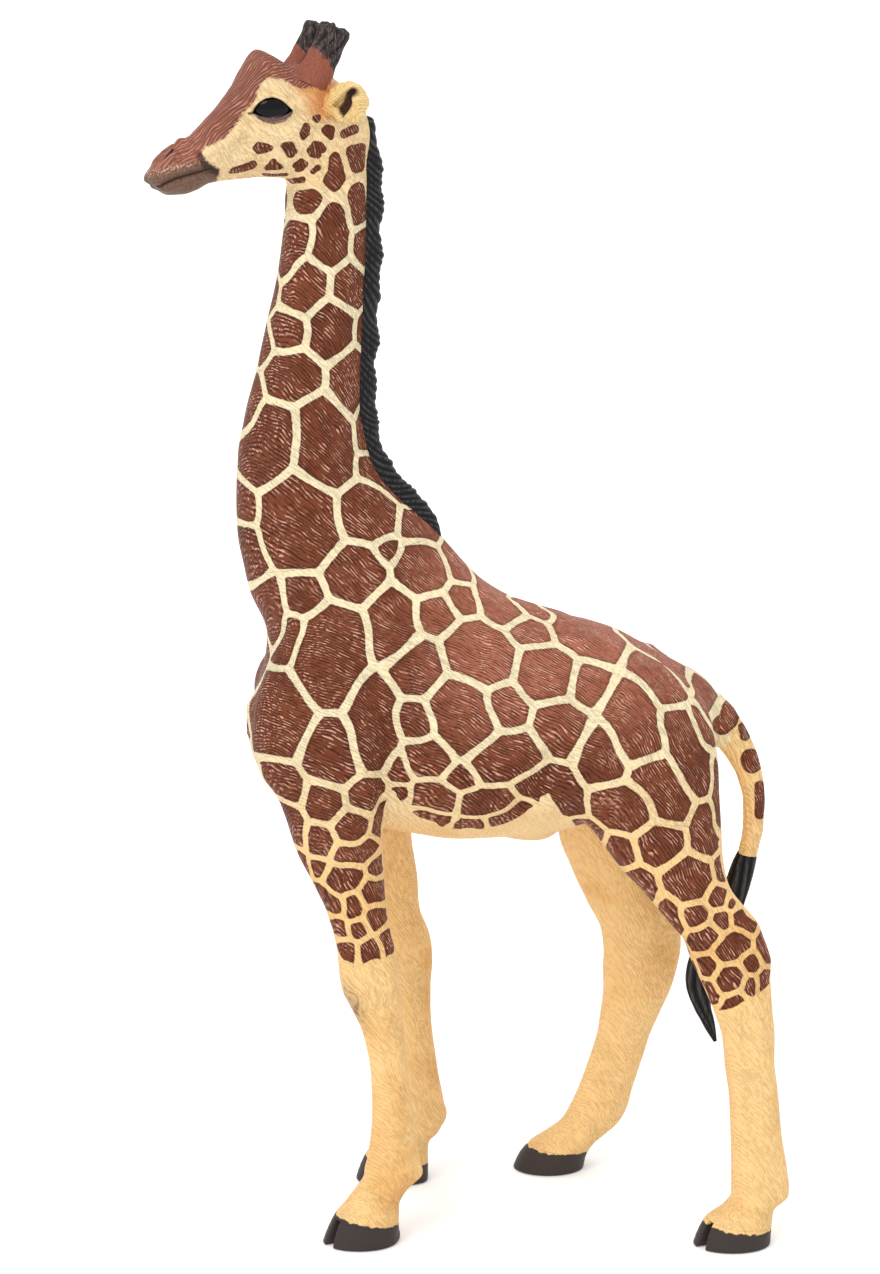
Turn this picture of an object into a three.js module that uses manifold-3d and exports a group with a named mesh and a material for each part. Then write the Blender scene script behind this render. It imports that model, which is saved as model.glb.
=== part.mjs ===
// Toy giraffe: a standing reticulated giraffe moulded in soft plastic, in pieces that are pegged and glued together.
// Millimetres, +Z up. The animal looks towards -X and its left side faces -Y.

import * as THREE from "three";
import { mergeVertices } from "three/addons/utils/BufferGeometryUtils.js";
import Module from "manifold-3d";

const wasm = await Module();
wasm.setup();

// Fits between the moulded pieces.
const glueGap = 0.3;
const socketClearance = 0.3;
const cutOverrun = 5;
const weldTolerance = 1e-4;
const halfSpaceShare = 4;

// Trunk.
const trunkLength = 87;
const trunkDepth = 50;
const trunkWidth = 36;
const trunkAxisHeight = 100;
const chestX = -41.2;
const sheathLength = 9;
const sheathDepth = 4.4;
const sheathWidth = 5;
const cavityWall = 4;
const shellPinRadius = 1.5;
const shellPinLength = 3;

// Legs. Depth runs fore and aft, width across the animal.
const forelegDepth = 20;
const forelegWidth = 10;
const hindLegDepth = 20;
const hindLegWidth = 10;
const foreStance = 33;
const hindStance = 42;
const shoulderSpacing = 17;
const hipSpacing = 19;
const legPegRadius = 2.6;
const legPegLength = 5;
const seamDrop = 2.6;
const seamSlopeDegrees = 26;
const hoofHeight = 4.4;
const hoofSlopeDegrees = 8;
const hoofPegRadius = 1.6;
const hoofPegLength = 2;
const cleftWidth = 0.9;
const cleftLength = 7;

// Neck and mane.
const neckLength = 100;
const neckDepth = 40;
const neckWidth = 20;
const neckSeamSlopeDegrees = 11;
const neckSeamRise = 27.5;
const maneFootClear = 4.3;
const neckPegRadius = 4.5;
const neckPegLength = 7;
const maneProud = 2.8;
const maneBed = 1.2;
const maneWidth = 3;

// Head.
const headLength = 42;
const headDepth = 20;
const headWidth = 15;
const headTurnDegrees = 22;
const headSeamSlopeDegrees = 30;
const headPegRadius = 3;
const headPegLength = 5;
const eyeRadius = 2.7;
const eyeProud = 0.9;
const ossiconeLength = 12;
const ossiconeRadius = 2.5;
const ossiconePegRadius = 1.2;
const ossiconePegLength = 2.5;
const earLength = 8.4;
const earWidth = 7.4;
const earThickness = 4.6;
const earWall = 1.3;
const earPegRadius = 1;
const earPegLength = 2.5;

// Tail.
const tailDrop = 30;
const tailReach = 12;
const tailThickness = 10;
const tailPegRadius = 1.8;
const tailPegLength = 4;
const tuftLength = 36.5;
const tuftThickness = 5.2;
const tuftPegRadius = 0.9;
const tuftPegLength = 2.5;

// Facets round each form.
const trunkSides = 22;
const neckSides = 20;
const legSides = 14;
const headSides = 20;
const smallSides = 10;
const pegSides = 12;

// Materials.
const coatBrown = new THREE.MeshStandardMaterial({ color: 0x7a3a26, roughness: 0.55, metalness: 0 });
const legCream = new THREE.MeshStandardMaterial({ color: 0xe9c083, roughness: 0.6, metalness: 0 });
const maneBlack = new THREE.MeshStandardMaterial({ color: 0x2b2a2b, roughness: 0.5, metalness: 0 });
const hoofBlack = new THREE.MeshStandardMaterial({ color: 0x3a3331, roughness: 0.6, metalness: 0 });
const eyeGloss = new THREE.MeshStandardMaterial({ color: 0x0b0a0a, roughness: 0.08, metalness: 0 });

// Trunk sections from chest to rump: share of the length, rise and fall from the axis as shares of
// the depth, half width as a share of the width.
const trunkSectionShares = [
  [0, -0.03, 0.13, 0.03],
  [0.015, 0.01, 0.23, 0.125],
  [0.05, 0.16, 0.33, 0.24],
  [0.12, 0.3, 0.415, 0.335],
  [0.22, 0.41, 0.47, 0.405],
  [0.33, 0.455, 0.51, 0.46],
  [0.45, 0.435, 0.54, 0.49],
  [0.57, 0.35, 0.53, 0.5],
  [0.68, 0.29, 0.49, 0.495],
  [0.78, 0.238, 0.43, 0.465],
  [0.87, 0.15, 0.37, 0.405],
  [0.94, 0.085, 0.32, 0.31],
  [0.98, 0.03, 0.26, 0.19],
  [1, -0.03, 0.18, 0.03],
];
const barrelShares = { from: 0.22, to: 0.87 };
const sheathPlaceShares = { along: 0.59, fall: 0.509 };

// Leg sections from the floor up: height and fore-and-aft sway as shares of the trunk's axis height,
// depth and width as shares of the leg's, and the share of the way from the hoof to the hip across.
const leftForelegShares = [
  [0, -0.101, 0.7, 1.1, 0],
  [0.025, -0.096, 0.66, 1.06, 0],
  [0.055, -0.088, 0.59, 0.98, 0.02],
  [0.08, -0.076, 0.5, 0.86, 0.05],
  [0.1, -0.062, 0.49, 0.84, 0.07],
  [0.13, -0.042, 0.53, 0.84, 0.1],
  [0.165, -0.039, 0.47, 0.76, 0.13],
  [0.22, -0.039, 0.4, 0.68, 0.18],
  [0.33, -0.046, 0.35, 0.65, 0.3],
  [0.4, -0.056, 0.39, 0.72, 0.37],
  [0.45, -0.069, 0.48, 0.88, 0.42],
  [0.505, -0.08, 0.54, 0.96, 0.48],
  [0.56, -0.088, 0.53, 0.92, 0.54],
  [0.62, -0.102, 0.55, 0.98, 0.61],
  [0.68, -0.118, 0.66, 1.12, 0.69],
  [0.735, -0.133, 0.785, 1.26, 0.77],
  [0.785, -0.141, 0.865, 1.38, 0.84],
  [0.83, -0.144, 1, 1.46, 0.91],
  [0.88, -0.158, 1.18, 1.52, 0.97],
  [0.94, -0.161, 1.27, 1.54, 1.02],
  [1, -0.155, 1.24, 1.46, 1.06],
  [1.08, -0.145, 1.06, 1.2, 1.1],
  [1.15, -0.135, 0.7, 0.7, 1.15],
];
const rightForelegShares = [
  [0, -0.029, 0.7, 1.1, 0],
  [0.025, -0.025, 0.66, 1.06, 0],
  [0.055, -0.018, 0.59, 0.98, 0.02],
  [0.08, -0.005, 0.5, 0.86, 0.05],
  [0.1, 0.014, 0.49, 0.84, 0.07],
  [0.13, 0.02, 0.53, 0.84, 0.1],
  [0.165, 0.023, 0.47, 0.76, 0.13],
  [0.22, 0.02, 0.4, 0.68, 0.18],
  [0.33, 0.011, 0.35, 0.65, 0.3],
  [0.4, 0.006, 0.39, 0.72, 0.37],
  [0.45, 0, 0.48, 0.88, 0.42],
  [0.505, -0.012, 0.54, 0.96, 0.48],
  [0.56, -0.03, 0.53, 0.92, 0.54],
  [0.62, -0.036, 0.55, 0.98, 0.61],
  [0.68, -0.056, 0.66, 1.12, 0.69],
  [0.735, -0.076, 0.785, 1.26, 0.77],
  [0.785, -0.108, 0.865, 1.38, 0.84],
  [0.83, -0.125, 1, 1.46, 0.91],
  [0.88, -0.145, 1.15, 1.52, 0.97],
  [0.94, -0.155, 1.24, 1.54, 1.02],
  [1, -0.155, 1.24, 1.46, 1.06],
  [1.08, -0.145, 1.06, 1.2, 1.1],
  [1.15, -0.135, 0.7, 0.7, 1.15],
];
const leftHindLegShares = [
  [0, 0.154, 0.72, 1.12, 0],
  [0.025, 0.159, 0.68, 1.08, 0],
  [0.05, 0.167, 0.62, 1, 0.01],
  [0.072, 0.186, 0.5, 0.86, 0.03],
  [0.095, 0.206, 0.535, 0.88, 0.05],
  [0.145, 0.204, 0.515, 0.82, 0.09],
  [0.2, 0.199, 0.475, 0.74, 0.14],
  [0.285, 0.193, 0.455, 0.7, 0.22],
  [0.34, 0.186, 0.46, 0.72, 0.28],
  [0.387, 0.184, 0.485, 0.76, 0.33],
  [0.437, 0.174, 0.54, 0.82, 0.38],
  [0.49, 0.161, 0.635, 0.92, 0.44],
  [0.54, 0.148, 0.73, 1, 0.5],
  [0.57, 0.137, 0.73, 1.02, 0.54],
  [0.605, 0.115, 0.8, 1.08, 0.59],
  [0.65, 0.078, 0.8, 1.2, 0.65],
  [0.705, 0.043, 0.96, 1.36, 0.72],
  [0.78, 0.014, 1.2, 1.54, 0.82],
  [0.84, -0.005, 1.36, 1.62, 0.9],
  [0.9, -0.015, 1.43, 1.58, 0.97],
  [0.96, -0.02, 1.36, 1.4, 1.03],
  [1.02, -0.028, 1.1, 1.1, 1.08],
  [1.07, -0.035, 0.6, 0.6, 1.12],
];
const rightHindLegShares = [
  [0, -0.153, 0.69, 1.12, 0],
  [0.025, -0.145, 0.66, 1.08, 0],
  [0.05, -0.128, 0.64, 1, 0.01],
  [0.072, -0.1, 0.6, 0.88, 0.03],
  [0.095, -0.074, 0.58, 0.86, 0.05],
  [0.13, -0.055, 0.56, 0.82, 0.08],
  [0.165, -0.044, 0.525, 0.76, 0.12],
  [0.21, -0.03, 0.515, 0.72, 0.16],
  [0.267, -0.014, 0.51, 0.72, 0.22],
  [0.325, 0.001, 0.575, 0.78, 0.28],
  [0.38, 0.014, 0.66, 0.88, 0.34],
  [0.42, 0.018, 0.715, 0.96, 0.38],
  [0.455, 0.021, 0.74, 1, 0.42],
  [0.495, 0.018, 0.76, 1.04, 0.47],
  [0.56, -0.008, 0.8, 1.12, 0.55],
  [0.625, -0.03, 0.87, 1.24, 0.64],
  [0.69, -0.042, 1, 1.38, 0.72],
  [0.78, -0.04, 1.2, 1.54, 0.82],
  [0.84, -0.03, 1.34, 1.62, 0.9],
  [0.9, -0.022, 1.42, 1.58, 0.97],
  [0.96, -0.02, 1.36, 1.4, 1.03],
  [1.02, -0.028, 1.1, 1.1, 1.08],
  [1.07, -0.035, 0.6, 0.6, 1.12],
];
const shoulderAlongShare = 0.345;
const hipAlongShare = 0.84;

// Neck sections above the trunk's axis: height and set-back as shares of the neck's length, depth and
// half width as shares of the neck's.
const neckSectionShares = [
  [0.04, -0.105, 0.98, 0.56],
  [0.12, -0.102, 1.08, 0.61],
  [0.2, -0.138, 1.05, 0.6],
  [0.25, -0.159, 1, 0.575],
  [0.295, -0.182, 0.93, 0.55],
  [0.34, -0.203, 0.84, 0.525],
  [0.385, -0.227, 0.72, 0.505],
  [0.43, -0.243, 0.63, 0.485],
  [0.475, -0.248, 0.585, 0.47],
  [0.52, -0.248, 0.535, 0.45],
  [0.606, -0.237, 0.48, 0.415],
  [0.693, -0.225, 0.44, 0.385],
  [0.78, -0.213, 0.4, 0.365],
  [0.867, -0.205, 0.38, 0.35],
  [0.91, -0.202, 0.365, 0.35],
  [0.97, -0.195, 0.33, 0.34],
  [1.02, -0.19, 0.24, 0.27],
];
const neckAlongShare = 0.41;

// Mane: least step from its foot to the next neck section, and its line above the neck as rise and
// set-back shares.
const maneStepShare = 0.012;
const maneTopShares = [
  [1.02, -0.129],
  [1.055, -0.138],
];

// Head sections from the muzzle to the nape: share of the length ahead of the neck, crown and jaw
// heights as shares of the depth, half width as a share of the width.
const headSectionShares = [
  [0.838, -0.175, -0.25, 0.03],
  [0.82, -0.115, -0.285, 0.16],
  [0.785, -0.025, -0.305, 0.235],
  [0.735, 0.075, -0.325, 0.27],
  [0.68, 0.145, -0.325, 0.28],
  [0.62, 0.2, -0.295, 0.28],
  [0.56, 0.325, -0.24, 0.29],
  [0.5, 0.445, -0.225, 0.31],
  [0.44, 0.6, -0.22, 0.35],
  [0.39, 0.77, -0.215, 0.4],
  [0.33, 0.915, -0.21, 0.45],
  [0.27, 0.865, -0.21, 0.475],
  [0.2, 0.785, -0.23, 0.49],
  [0.12, 0.745, -0.3, 0.485],
  [0.04, 0.695, -0.3, 0.465],
  [-0.05, 0.585, -0.25, 0.44],
  [-0.12, 0.425, -0.15, 0.38],
  [-0.165, 0.225, 0, 0.05],
];
const headSetBackShare = -0.197;
const headSeamDropShare = 0.3;
const eyePlaceShares = { ahead: 0.31, rise: 0.42, across: 0.46 };
const ossiconePlaceShares = { ahead: 0.122, rise: 0.58, across: 0.25 };
const ossiconeLeanDegrees = { back: 26, out: -3 };
const ossiconeSectionShares = [
  [0, 1.25],
  [0.3, 1.08],
  [0.62, 0.96],
  [0.84, 1.02],
  [0.95, 0.86],
  [1, 0.35],
];
const earPlaceShares = { ahead: 0.07, rise: 0.43, across: 0.4 };
const earPointing = { back: 0.45, out: 0.85, up: 0.12 };
const plugRootShare = 0.33;
const earSectionShares = [
  [0, 0.3],
  [0.12, 0.62],
  [0.35, 0.94],
  [0.6, 1],
  [0.82, 0.78],
  [0.94, 0.46],
  [1, 0.12],
];

// Tail and tuft centre lines below the rump: drop, reach and thickness shares.
const tailPathShares = [
  [-0.12, -0.42, 0.78],
  [0, 0.15, 0.62],
  [0.106, 0.335, 0.57],
  [0.22, 0.535, 0.5],
  [0.354, 0.645, 0.435],
  [0.524, 0.692, 0.4],
  [0.697, 0.687, 0.375],
  [0.875, 0.605, 0.345],
];
const tailRootShares = { along: 0.985, rise: -0.1 };
const tuftPathShares = [
  [0, 0, 0.68],
  [0.063, -0.02, 0.78],
  [0.148, -0.044, 0.88],
  [0.243, -0.078, 0.96],
  [0.35, -0.123, 1],
  [0.472, -0.178, 1],
  [0.589, -0.223, 0.96],
  [0.696, -0.236, 0.84],
  [0.798, -0.22, 0.64],
  [0.896, -0.186, 0.4],
  [1, -0.149, 0.1],
];
const tuftFlatShare = 0.8;

const radians = THREE.MathUtils.degToRad;
const lastOf = (list) => list[list.length - 1];

// Closed solid of a three.js geometry.
function solidOf(geometry) {
  const bare = geometry.clone();
  for (const name of ["normal", "uv"]) bare.deleteAttribute(name);
  const merged = mergeVertices(bare, weldTolerance);
  return new wasm.Manifold(
    new wasm.Mesh({
      numProp: 3,
      vertProperties: merged.attributes.position.array,
      triVerts: new Uint32Array(merged.index.array),
    }),
  );
}

// Named mesh of a solid.
function meshOf(name, solid, material) {
  const { vertProperties, triVerts } = solid.getMesh();
  const geometry = new THREE.BufferGeometry();
  geometry.setAttribute("position", new THREE.BufferAttribute(vertProperties, 3));
  geometry.setIndex(new THREE.BufferAttribute(triVerts, 1));
  geometry.computeVertexNormals();
  const mesh = new THREE.Mesh(geometry, material);
  mesh.name = name;
  return mesh;
}

// Skin through rings with the same number of points, closed by a fan at each end.
function skinOf(rings) {
  const sides = rings[0].length;
  const points = rings.flat();
  const faces = [];
  for (let ring = 0; ring + 1 < rings.length; ring++) {
    for (let side = 0; side < sides; side++) {
      const next = (side + 1) % sides;
      const [a, b] = [ring * sides + side, ring * sides + next];
      faces.push(a, b, b + sides, a, b + sides, a + sides);
    }
  }
  for (const [ring, isLast] of [
    [0, false],
    [rings.length - 1, true],
  ]) {
    const centre = new THREE.Vector3();
    for (const point of rings[ring]) centre.addScaledVector(point, 1 / sides);
    const hub = points.push(centre) - 1;
    for (let side = 0; side < sides; side++) {
      const [a, b] = [ring * sides + side, ring * sides + ((side + 1) % sides)];
      faces.push(hub, ...(isLast ? [a, b] : [b, a]));
    }
  }
  const geometry = new THREE.BufferGeometry().setFromPoints(points);
  geometry.setIndex(faces);
  if (signedVolume(points, faces) < 0) {
    for (let face = 0; face < faces.length; face += 3) {
      [faces[face + 1], faces[face + 2]] = [faces[face + 2], faces[face + 1]];
    }
    geometry.setIndex(faces);
  }
  return solidOf(geometry);
}

// Volume inside a skin, below zero when its faces point inwards.
function signedVolume(points, faces) {
  let total = 0;
  for (let face = 0; face < faces.length; face += 3) {
    const [a, b, c] = faces.slice(face, face + 3).map((index) => points[index]);
    total += new THREE.Vector3().crossVectors(a, b).dot(c) / 6;
  }
  return total;
}

// Oval of points round a centre, along two half axes.
function ovalRing(centre, across, along, sides) {
  return Array.from({ length: sides }, (_, side) => {
    const angle = (side / sides) * Math.PI * 2;
    return centre
      .clone()
      .addScaledVector(across, Math.cos(angle))
      .addScaledVector(along, Math.sin(angle));
  });
}

// Peg or socket cylinder from a point along a direction, starting one overrun behind it.
function rodOf(start, direction, radius, length, behind) {
  const geometry = new THREE.CylinderGeometry(radius, radius, length + behind, pegSides);
  geometry.translate(0, (length - behind) / 2, 0);
  const turn = new THREE.Quaternion().setFromUnitVectors(
    new THREE.Vector3(0, 1, 0),
    direction.clone().normalize(),
  );
  geometry.applyQuaternion(turn);
  geometry.translate(start.x, start.y, start.z);
  return solidOf(geometry);
}

// The part of a solid on the side of a plane that its normal points to.
function keepBeyond(solid, normal, point, gap = 0) {
  const reach = halfSpaceShare * (trunkLength + neckLength + trunkAxisHeight);
  const block = new THREE.BoxGeometry(reach, reach, reach);
  block.translate(0, 0, reach / 2 + gap);
  const turn = new THREE.Quaternion().setFromUnitVectors(
    new THREE.Vector3(0, 0, 1),
    normal.clone().normalize(),
  );
  block.applyQuaternion(turn);
  block.translate(point.x, point.y, point.z);
  return solid.intersect(solidOf(block));
}

const sum = (first, ...others) => others.reduce((joined, solid) => joined.add(solid), first);

// Trunk loft. Grow swells it on every side.
function trunkLoft(grow = 0) {
  return skinOf(
    trunkSectionShares.map(([along, rise, fall, half], index) => {
      const end = index === 0 ? -1 : index === trunkSectionShares.length - 1 ? 1 : 0;
      const top = rise * trunkDepth + grow;
      const bottom = -fall * trunkDepth - grow;
      const centre = new THREE.Vector3(
        chestX + along * trunkLength + end * grow,
        0,
        trunkAxisHeight + (top + bottom) / 2,
      );
      const across = new THREE.Vector3(0, half * trunkWidth + grow, 0);
      return ovalRing(centre, across, new THREE.Vector3(0, 0, (top - bottom) / 2), trunkSides);
    }),
  );
}

// Fold of skin under the belly.
function sheath() {
  const geometry = new THREE.SphereGeometry(1, smallSides, smallSides / 2);
  geometry.scale(sheathLength / 2, sheathWidth / 2, sheathDepth / 2);
  geometry.translate(
    chestX + sheathPlaceShares.along * trunkLength,
    0,
    trunkAxisHeight - sheathPlaceShares.fall * trunkDepth,
  );
  return solidOf(geometry);
}

// Leg loft with its sole on the floor.
function legLoft(leg, grow = 0) {
  return skinOf(
    leg.shares.map(([rise, sway, depth, width, inward], index) => {
      const centre = legCentre(leg, rise, sway, inward);
      if (index === leg.shares.length - 1) centre.z += grow;
      const across = new THREE.Vector3((depth * leg.depth) / 2 + grow, 0, 0);
      const along = new THREE.Vector3(0, (width * leg.width) / 2 + grow, 0);
      return ovalRing(centre, across, along, legSides);
    }),
  );
}

function legCentre(leg, rise, sway, inward) {
  const across = THREE.MathUtils.lerp(leg.stance, leg.spacing, inward) / 2;
  return new THREE.Vector3(
    leg.rootX + sway * trunkAxisHeight,
    leg.side * across,
    rise * trunkAxisHeight,
  );
}

// Place on a leg's centre line at a height share.
function legPlace(leg, rise) {
  const rows = leg.shares;
  const upper = Math.max(1, rows.findIndex((row) => row[0] >= rise));
  const [low, high] = [rows[upper - 1], rows[upper]];
  const t = (rise - low[0]) / (high[0] - low[0]);
  const mix = (column) => THREE.MathUtils.lerp(low[column], high[column], t);
  return legCentre(leg, rise, mix(1), mix(4));
}

const shoulderX = chestX + shoulderAlongShare * trunkLength;
const hipX = chestX + hipAlongShare * trunkLength;
const foreSizes = {
  depth: forelegDepth,
  width: forelegWidth,
  stance: foreStance,
  spacing: shoulderSpacing,
  rootX: shoulderX,
};
const hindSizes = {
  depth: hindLegDepth,
  width: hindLegWidth,
  stance: hindStance,
  spacing: hipSpacing,
  rootX: hipX,
};
const legs = [
  { name: "left_foreleg", hoof: "left_fore_hoof", side: -1, shares: leftForelegShares, ...foreSizes },
  { name: "right_foreleg", hoof: "right_fore_hoof", side: 1, shares: rightForelegShares, ...foreSizes },
  { name: "left_hind_leg", hoof: "left_hind_hoof", side: -1, shares: leftHindLegShares, ...hindSizes },
  { name: "right_hind_leg", hoof: "right_hind_hoof", side: 1, shares: rightHindLegShares, ...hindSizes },
];

// Seam between a leg and the trunk: a plane that rises outwards from just under the belly.
const bellyFallShare = Math.max(...trunkSectionShares.map((row) => row[2]));
const bellySeamHeight = trunkAxisHeight - bellyFallShare * trunkDepth - seamDrop;

function legSeam(leg) {
  const tilt = radians(seamSlopeDegrees);
  const normal = new THREE.Vector3(0, -leg.side * Math.sin(tilt), Math.cos(tilt));
  const onFloorLine = new THREE.Vector3(0, 0, bellySeamHeight);
  let place = legPlace(leg, bellySeamHeight / trunkAxisHeight);
  for (let step = 0; step < 4; step++) {
    const height = bellySeamHeight + Math.abs(place.y) * Math.tan(tilt);
    place = legPlace(leg, height / trunkAxisHeight);
  }
  return { normal, point: onFloorLine, centre: place };
}

// Seam between a leg and its hoof, higher at the toe.
function hoofSeam(leg) {
  const tilt = radians(hoofSlopeDegrees);
  const centre = legPlace(leg, hoofHeight / trunkAxisHeight);
  return { normal: new THREE.Vector3(Math.sin(tilt), 0, Math.cos(tilt)), centre };
}

// Neck loft. The first ring lies inside the trunk and the last inside the head.
const neckX = chestX + neckAlongShare * trunkLength;

function neckLoft(grow = 0) {
  return skinOf(
    neckSectionShares.map(([rise, setBack, depth, half]) => {
      const centre = new THREE.Vector3(
        neckX + setBack * neckLength,
        0,
        trunkAxisHeight + rise * neckLength,
      );
      const across = new THREE.Vector3((depth * neckDepth) / 2 + grow, 0, 0);
      return ovalRing(centre, across, new THREE.Vector3(0, half * neckWidth + grow, 0), neckSides);
    }),
  );
}

// Set-back and depth shares of the neck at a rise share, read between its sections.
function neckShapeAt(rise) {
  const above = neckSectionShares.findIndex((row) => row[0] > rise);
  const [low, high] = [neckSectionShares[above - 1], neckSectionShares[above]];
  const way = (rise - low[0]) / (high[0] - low[0]);
  return [1, 2].map((column) => low[column] + way * (high[column] - low[column]));
}

function neckSeamPlane() {
  const slope = radians(neckSeamSlopeDegrees);
  const [setBack] = neckShapeAt(neckSeamRise / neckLength);
  return {
    normal: new THREE.Vector3(-Math.sin(slope), 0, Math.cos(slope)),
    point: new THREE.Vector3(neckX + setBack * neckLength, 0, trunkAxisHeight + neckSeamRise),
  };
}
const neckSeam = neckSeamPlane();

// Mane strip down the back of the neck, from the nape to the withers, square to the skin that it is bedded in.
function maneStrip() {
  const foot = (neckSeamRise + maneFootClear) / neckLength;
  const behind = (rise, setBack, depth) => [rise, setBack + (depth * neckDepth) / 2 / neckLength];
  const onNeck = neckSectionShares
    .filter(([rise]) => rise > foot + maneStepShare && rise < 1)
    .map(([rise, setBack, depth]) => behind(rise, setBack, depth));
  const skin = [behind(foot, ...neckShapeAt(foot)), ...onNeck, ...maneTopShares].map(
    ([rise, setBack]) =>
      new THREE.Vector3(neckX + setBack * neckLength, 0, trunkAxisHeight + rise * neckLength),
  );
  const thick = maneProud + maneBed;
  const places = skin.map((point, index) => {
    const run = skin[Math.min(skin.length - 1, index + 1)]
      .clone()
      .sub(skin[Math.max(0, index - 1)])
      .normalize();
    const outward = new THREE.Vector3(run.z, 0, -run.x);
    return { point: point.clone().addScaledVector(outward, (maneProud - maneBed) / 2), thick };
  });
  return pathSolid(places, maneWidth / thick);
}

// Head frame: its origin is on the neck's axis at the neck's top, and it is turned to the left.
const headPivot = new THREE.Vector3(
  neckX + headSetBackShare * neckLength,
  0,
  trunkAxisHeight + neckLength,
);
const headTurn = new THREE.Matrix4()
  .makeTranslation(headPivot)
  .multiply(new THREE.Matrix4().makeRotationZ(radians(headTurnDegrees)));

const headPoint = (ahead, across, rise) =>
  new THREE.Vector3(-ahead * headLength, across * headWidth, rise * headDepth).applyMatrix4(headTurn);
const headDirection = (x, y, z) =>
  new THREE.Vector3(x, y, z).normalize().transformDirection(headTurn);

function headLoft(grow = 0) {
  return skinOf(
    headSectionShares.map(([ahead, crown, jaw, half], index) => {
      const end = index === 0 ? -1 : index === headSectionShares.length - 1 ? 1 : 0;
      const centre = new THREE.Vector3(
        -ahead * headLength + end * grow,
        0,
        ((crown + jaw) / 2) * headDepth,
      );
      const across = new THREE.Vector3(0, half * headWidth + grow, 0);
      const along = new THREE.Vector3(0, 0, ((crown - jaw) / 2) * headDepth + grow);
      return ovalRing(centre, across, along, headSides).map((p) => p.applyMatrix4(headTurn));
    }),
  );
}

const headSeam = {
  normal: new THREE.Vector3(
    -Math.sin(radians(headSeamSlopeDegrees)),
    0,
    Math.cos(radians(headSeamSlopeDegrees)),
  ),
  point: headPivot.clone().add(new THREE.Vector3(0, 0, -headSeamDropShare * headDepth)),
};

function eyeBall(side, grow = 0) {
  const { ahead, rise, across } = eyePlaceShares;
  const sink = (eyeRadius - eyeProud) / headWidth;
  const place = headPoint(ahead, side * (across - sink), rise);
  const geometry = new THREE.SphereGeometry(eyeRadius + grow, smallSides, smallSides);
  return solidOf(geometry.translate(place.x, place.y, place.z));
}

// Ossicone: a short horn that leans back and outwards, with a thicker tip.
function ossicone(side) {
  const { ahead, rise, across } = ossiconePlaceShares;
  const base = headPoint(ahead, side * across, rise);
  const direction = headDirection(
    Math.tan(radians(ossiconeLeanDegrees.back)),
    side * Math.tan(radians(ossiconeLeanDegrees.out)),
    1,
  );
  const fore = headDirection(1, 0, 0);
  const sideways = new THREE.Vector3().crossVectors(direction, fore).normalize();
  const ahead2 = new THREE.Vector3().crossVectors(sideways, direction);
  const solid = skinOf(
    ossiconeSectionShares.map(([along, thick]) =>
      ovalRing(
        base.clone().addScaledVector(direction, along * ossiconeLength),
        ahead2.clone().multiplyScalar(thick * ossiconeRadius),
        sideways.clone().multiplyScalar(thick * ossiconeRadius),
        smallSides,
      ),
    ),
  );
  return { solid, base, direction };
}

// Ear: a leaf with a scooped face that looks forwards.
function ear(side) {
  const { ahead, rise, across } = earPlaceShares;
  const base = headPoint(ahead, side * across, rise);
  const direction = headDirection(earPointing.back, side * earPointing.out, earPointing.up);
  const upward = headDirection(0, 0, 1);
  upward.addScaledVector(direction, -upward.dot(direction)).normalize();
  const facing = new THREE.Vector3().crossVectors(direction, upward).multiplyScalar(-side);
  const leaf = (wide, thick, shift, from) =>
    skinOf(
      earSectionShares.map(([along, share]) =>
        ovalRing(
          base
            .clone()
            .addScaledVector(direction, from + along * (earLength - from))
            .addScaledVector(facing, shift),
          upward.clone().multiplyScalar(share * wide),
          facing.clone().multiplyScalar(share * thick),
          smallSides,
        ),
      ),
    );
  const outer = leaf(earWidth / 2, earThickness / 2, 0, 0);
  const scoop = leaf(
    earWidth / 2 - earWall,
    earThickness / 2,
    earWall,
    earLength * earSectionShares[2][0],
  );
  return { solid: outer.subtract(scoop), base, direction };
}

// Tube of varying thickness along a path in the animal's mid plane.
function pathSolid(places, flat) {
  const points = places.map((place) => place.point);
  const rings = places.map(({ point, thick }, index) => {
    const before = points[Math.max(0, index - 1)];
    const after = points[Math.min(points.length - 1, index + 1)];
    const run = after.clone().sub(before).normalize();
    const across = new THREE.Vector3(-run.z, 0, run.x).multiplyScalar(thick / 2);
    return ovalRing(point, across, new THREE.Vector3(0, (thick / 2) * flat, 0), smallSides);
  });
  return skinOf(rings);
}

const tailRoot = new THREE.Vector3(
  chestX + tailRootShares.along * trunkLength,
  0,
  trunkAxisHeight + tailRootShares.rise * trunkDepth,
);
const tailPlaces = tailPathShares.map(([drop, reach, thick]) => ({
  point: tailRoot.clone().add(new THREE.Vector3(reach * tailReach, 0, -drop * tailDrop)),
  thick: thick * tailThickness,
}));
const tailEnd = lastOf(tailPlaces).point;
const tuftPlaces = tuftPathShares.map(([drop, reach, thick]) => ({
  point: tailEnd.clone().add(new THREE.Vector3(reach * tuftLength, 0, -drop * tuftLength - glueGap)),
  thick: thick * tuftThickness,
}));

// Assembly.
const figure = new THREE.Group();
const down = new THREE.Vector3(0, 0, -1);
const grownTrunk = trunkLoft(glueGap);
const neck = neckLoft();
const skull = headLoft();
const grownHead = sum(headLoft(glueGap), neckLoft(glueGap));
const headAndNeck = sum(skull, neck);
let trunk = sum(
  trunkLoft(),
  sheath(),
  keepBeyond(neck, neckSeam.normal.clone().negate(), neckSeam.point, glueGap / 2),
);

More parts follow.
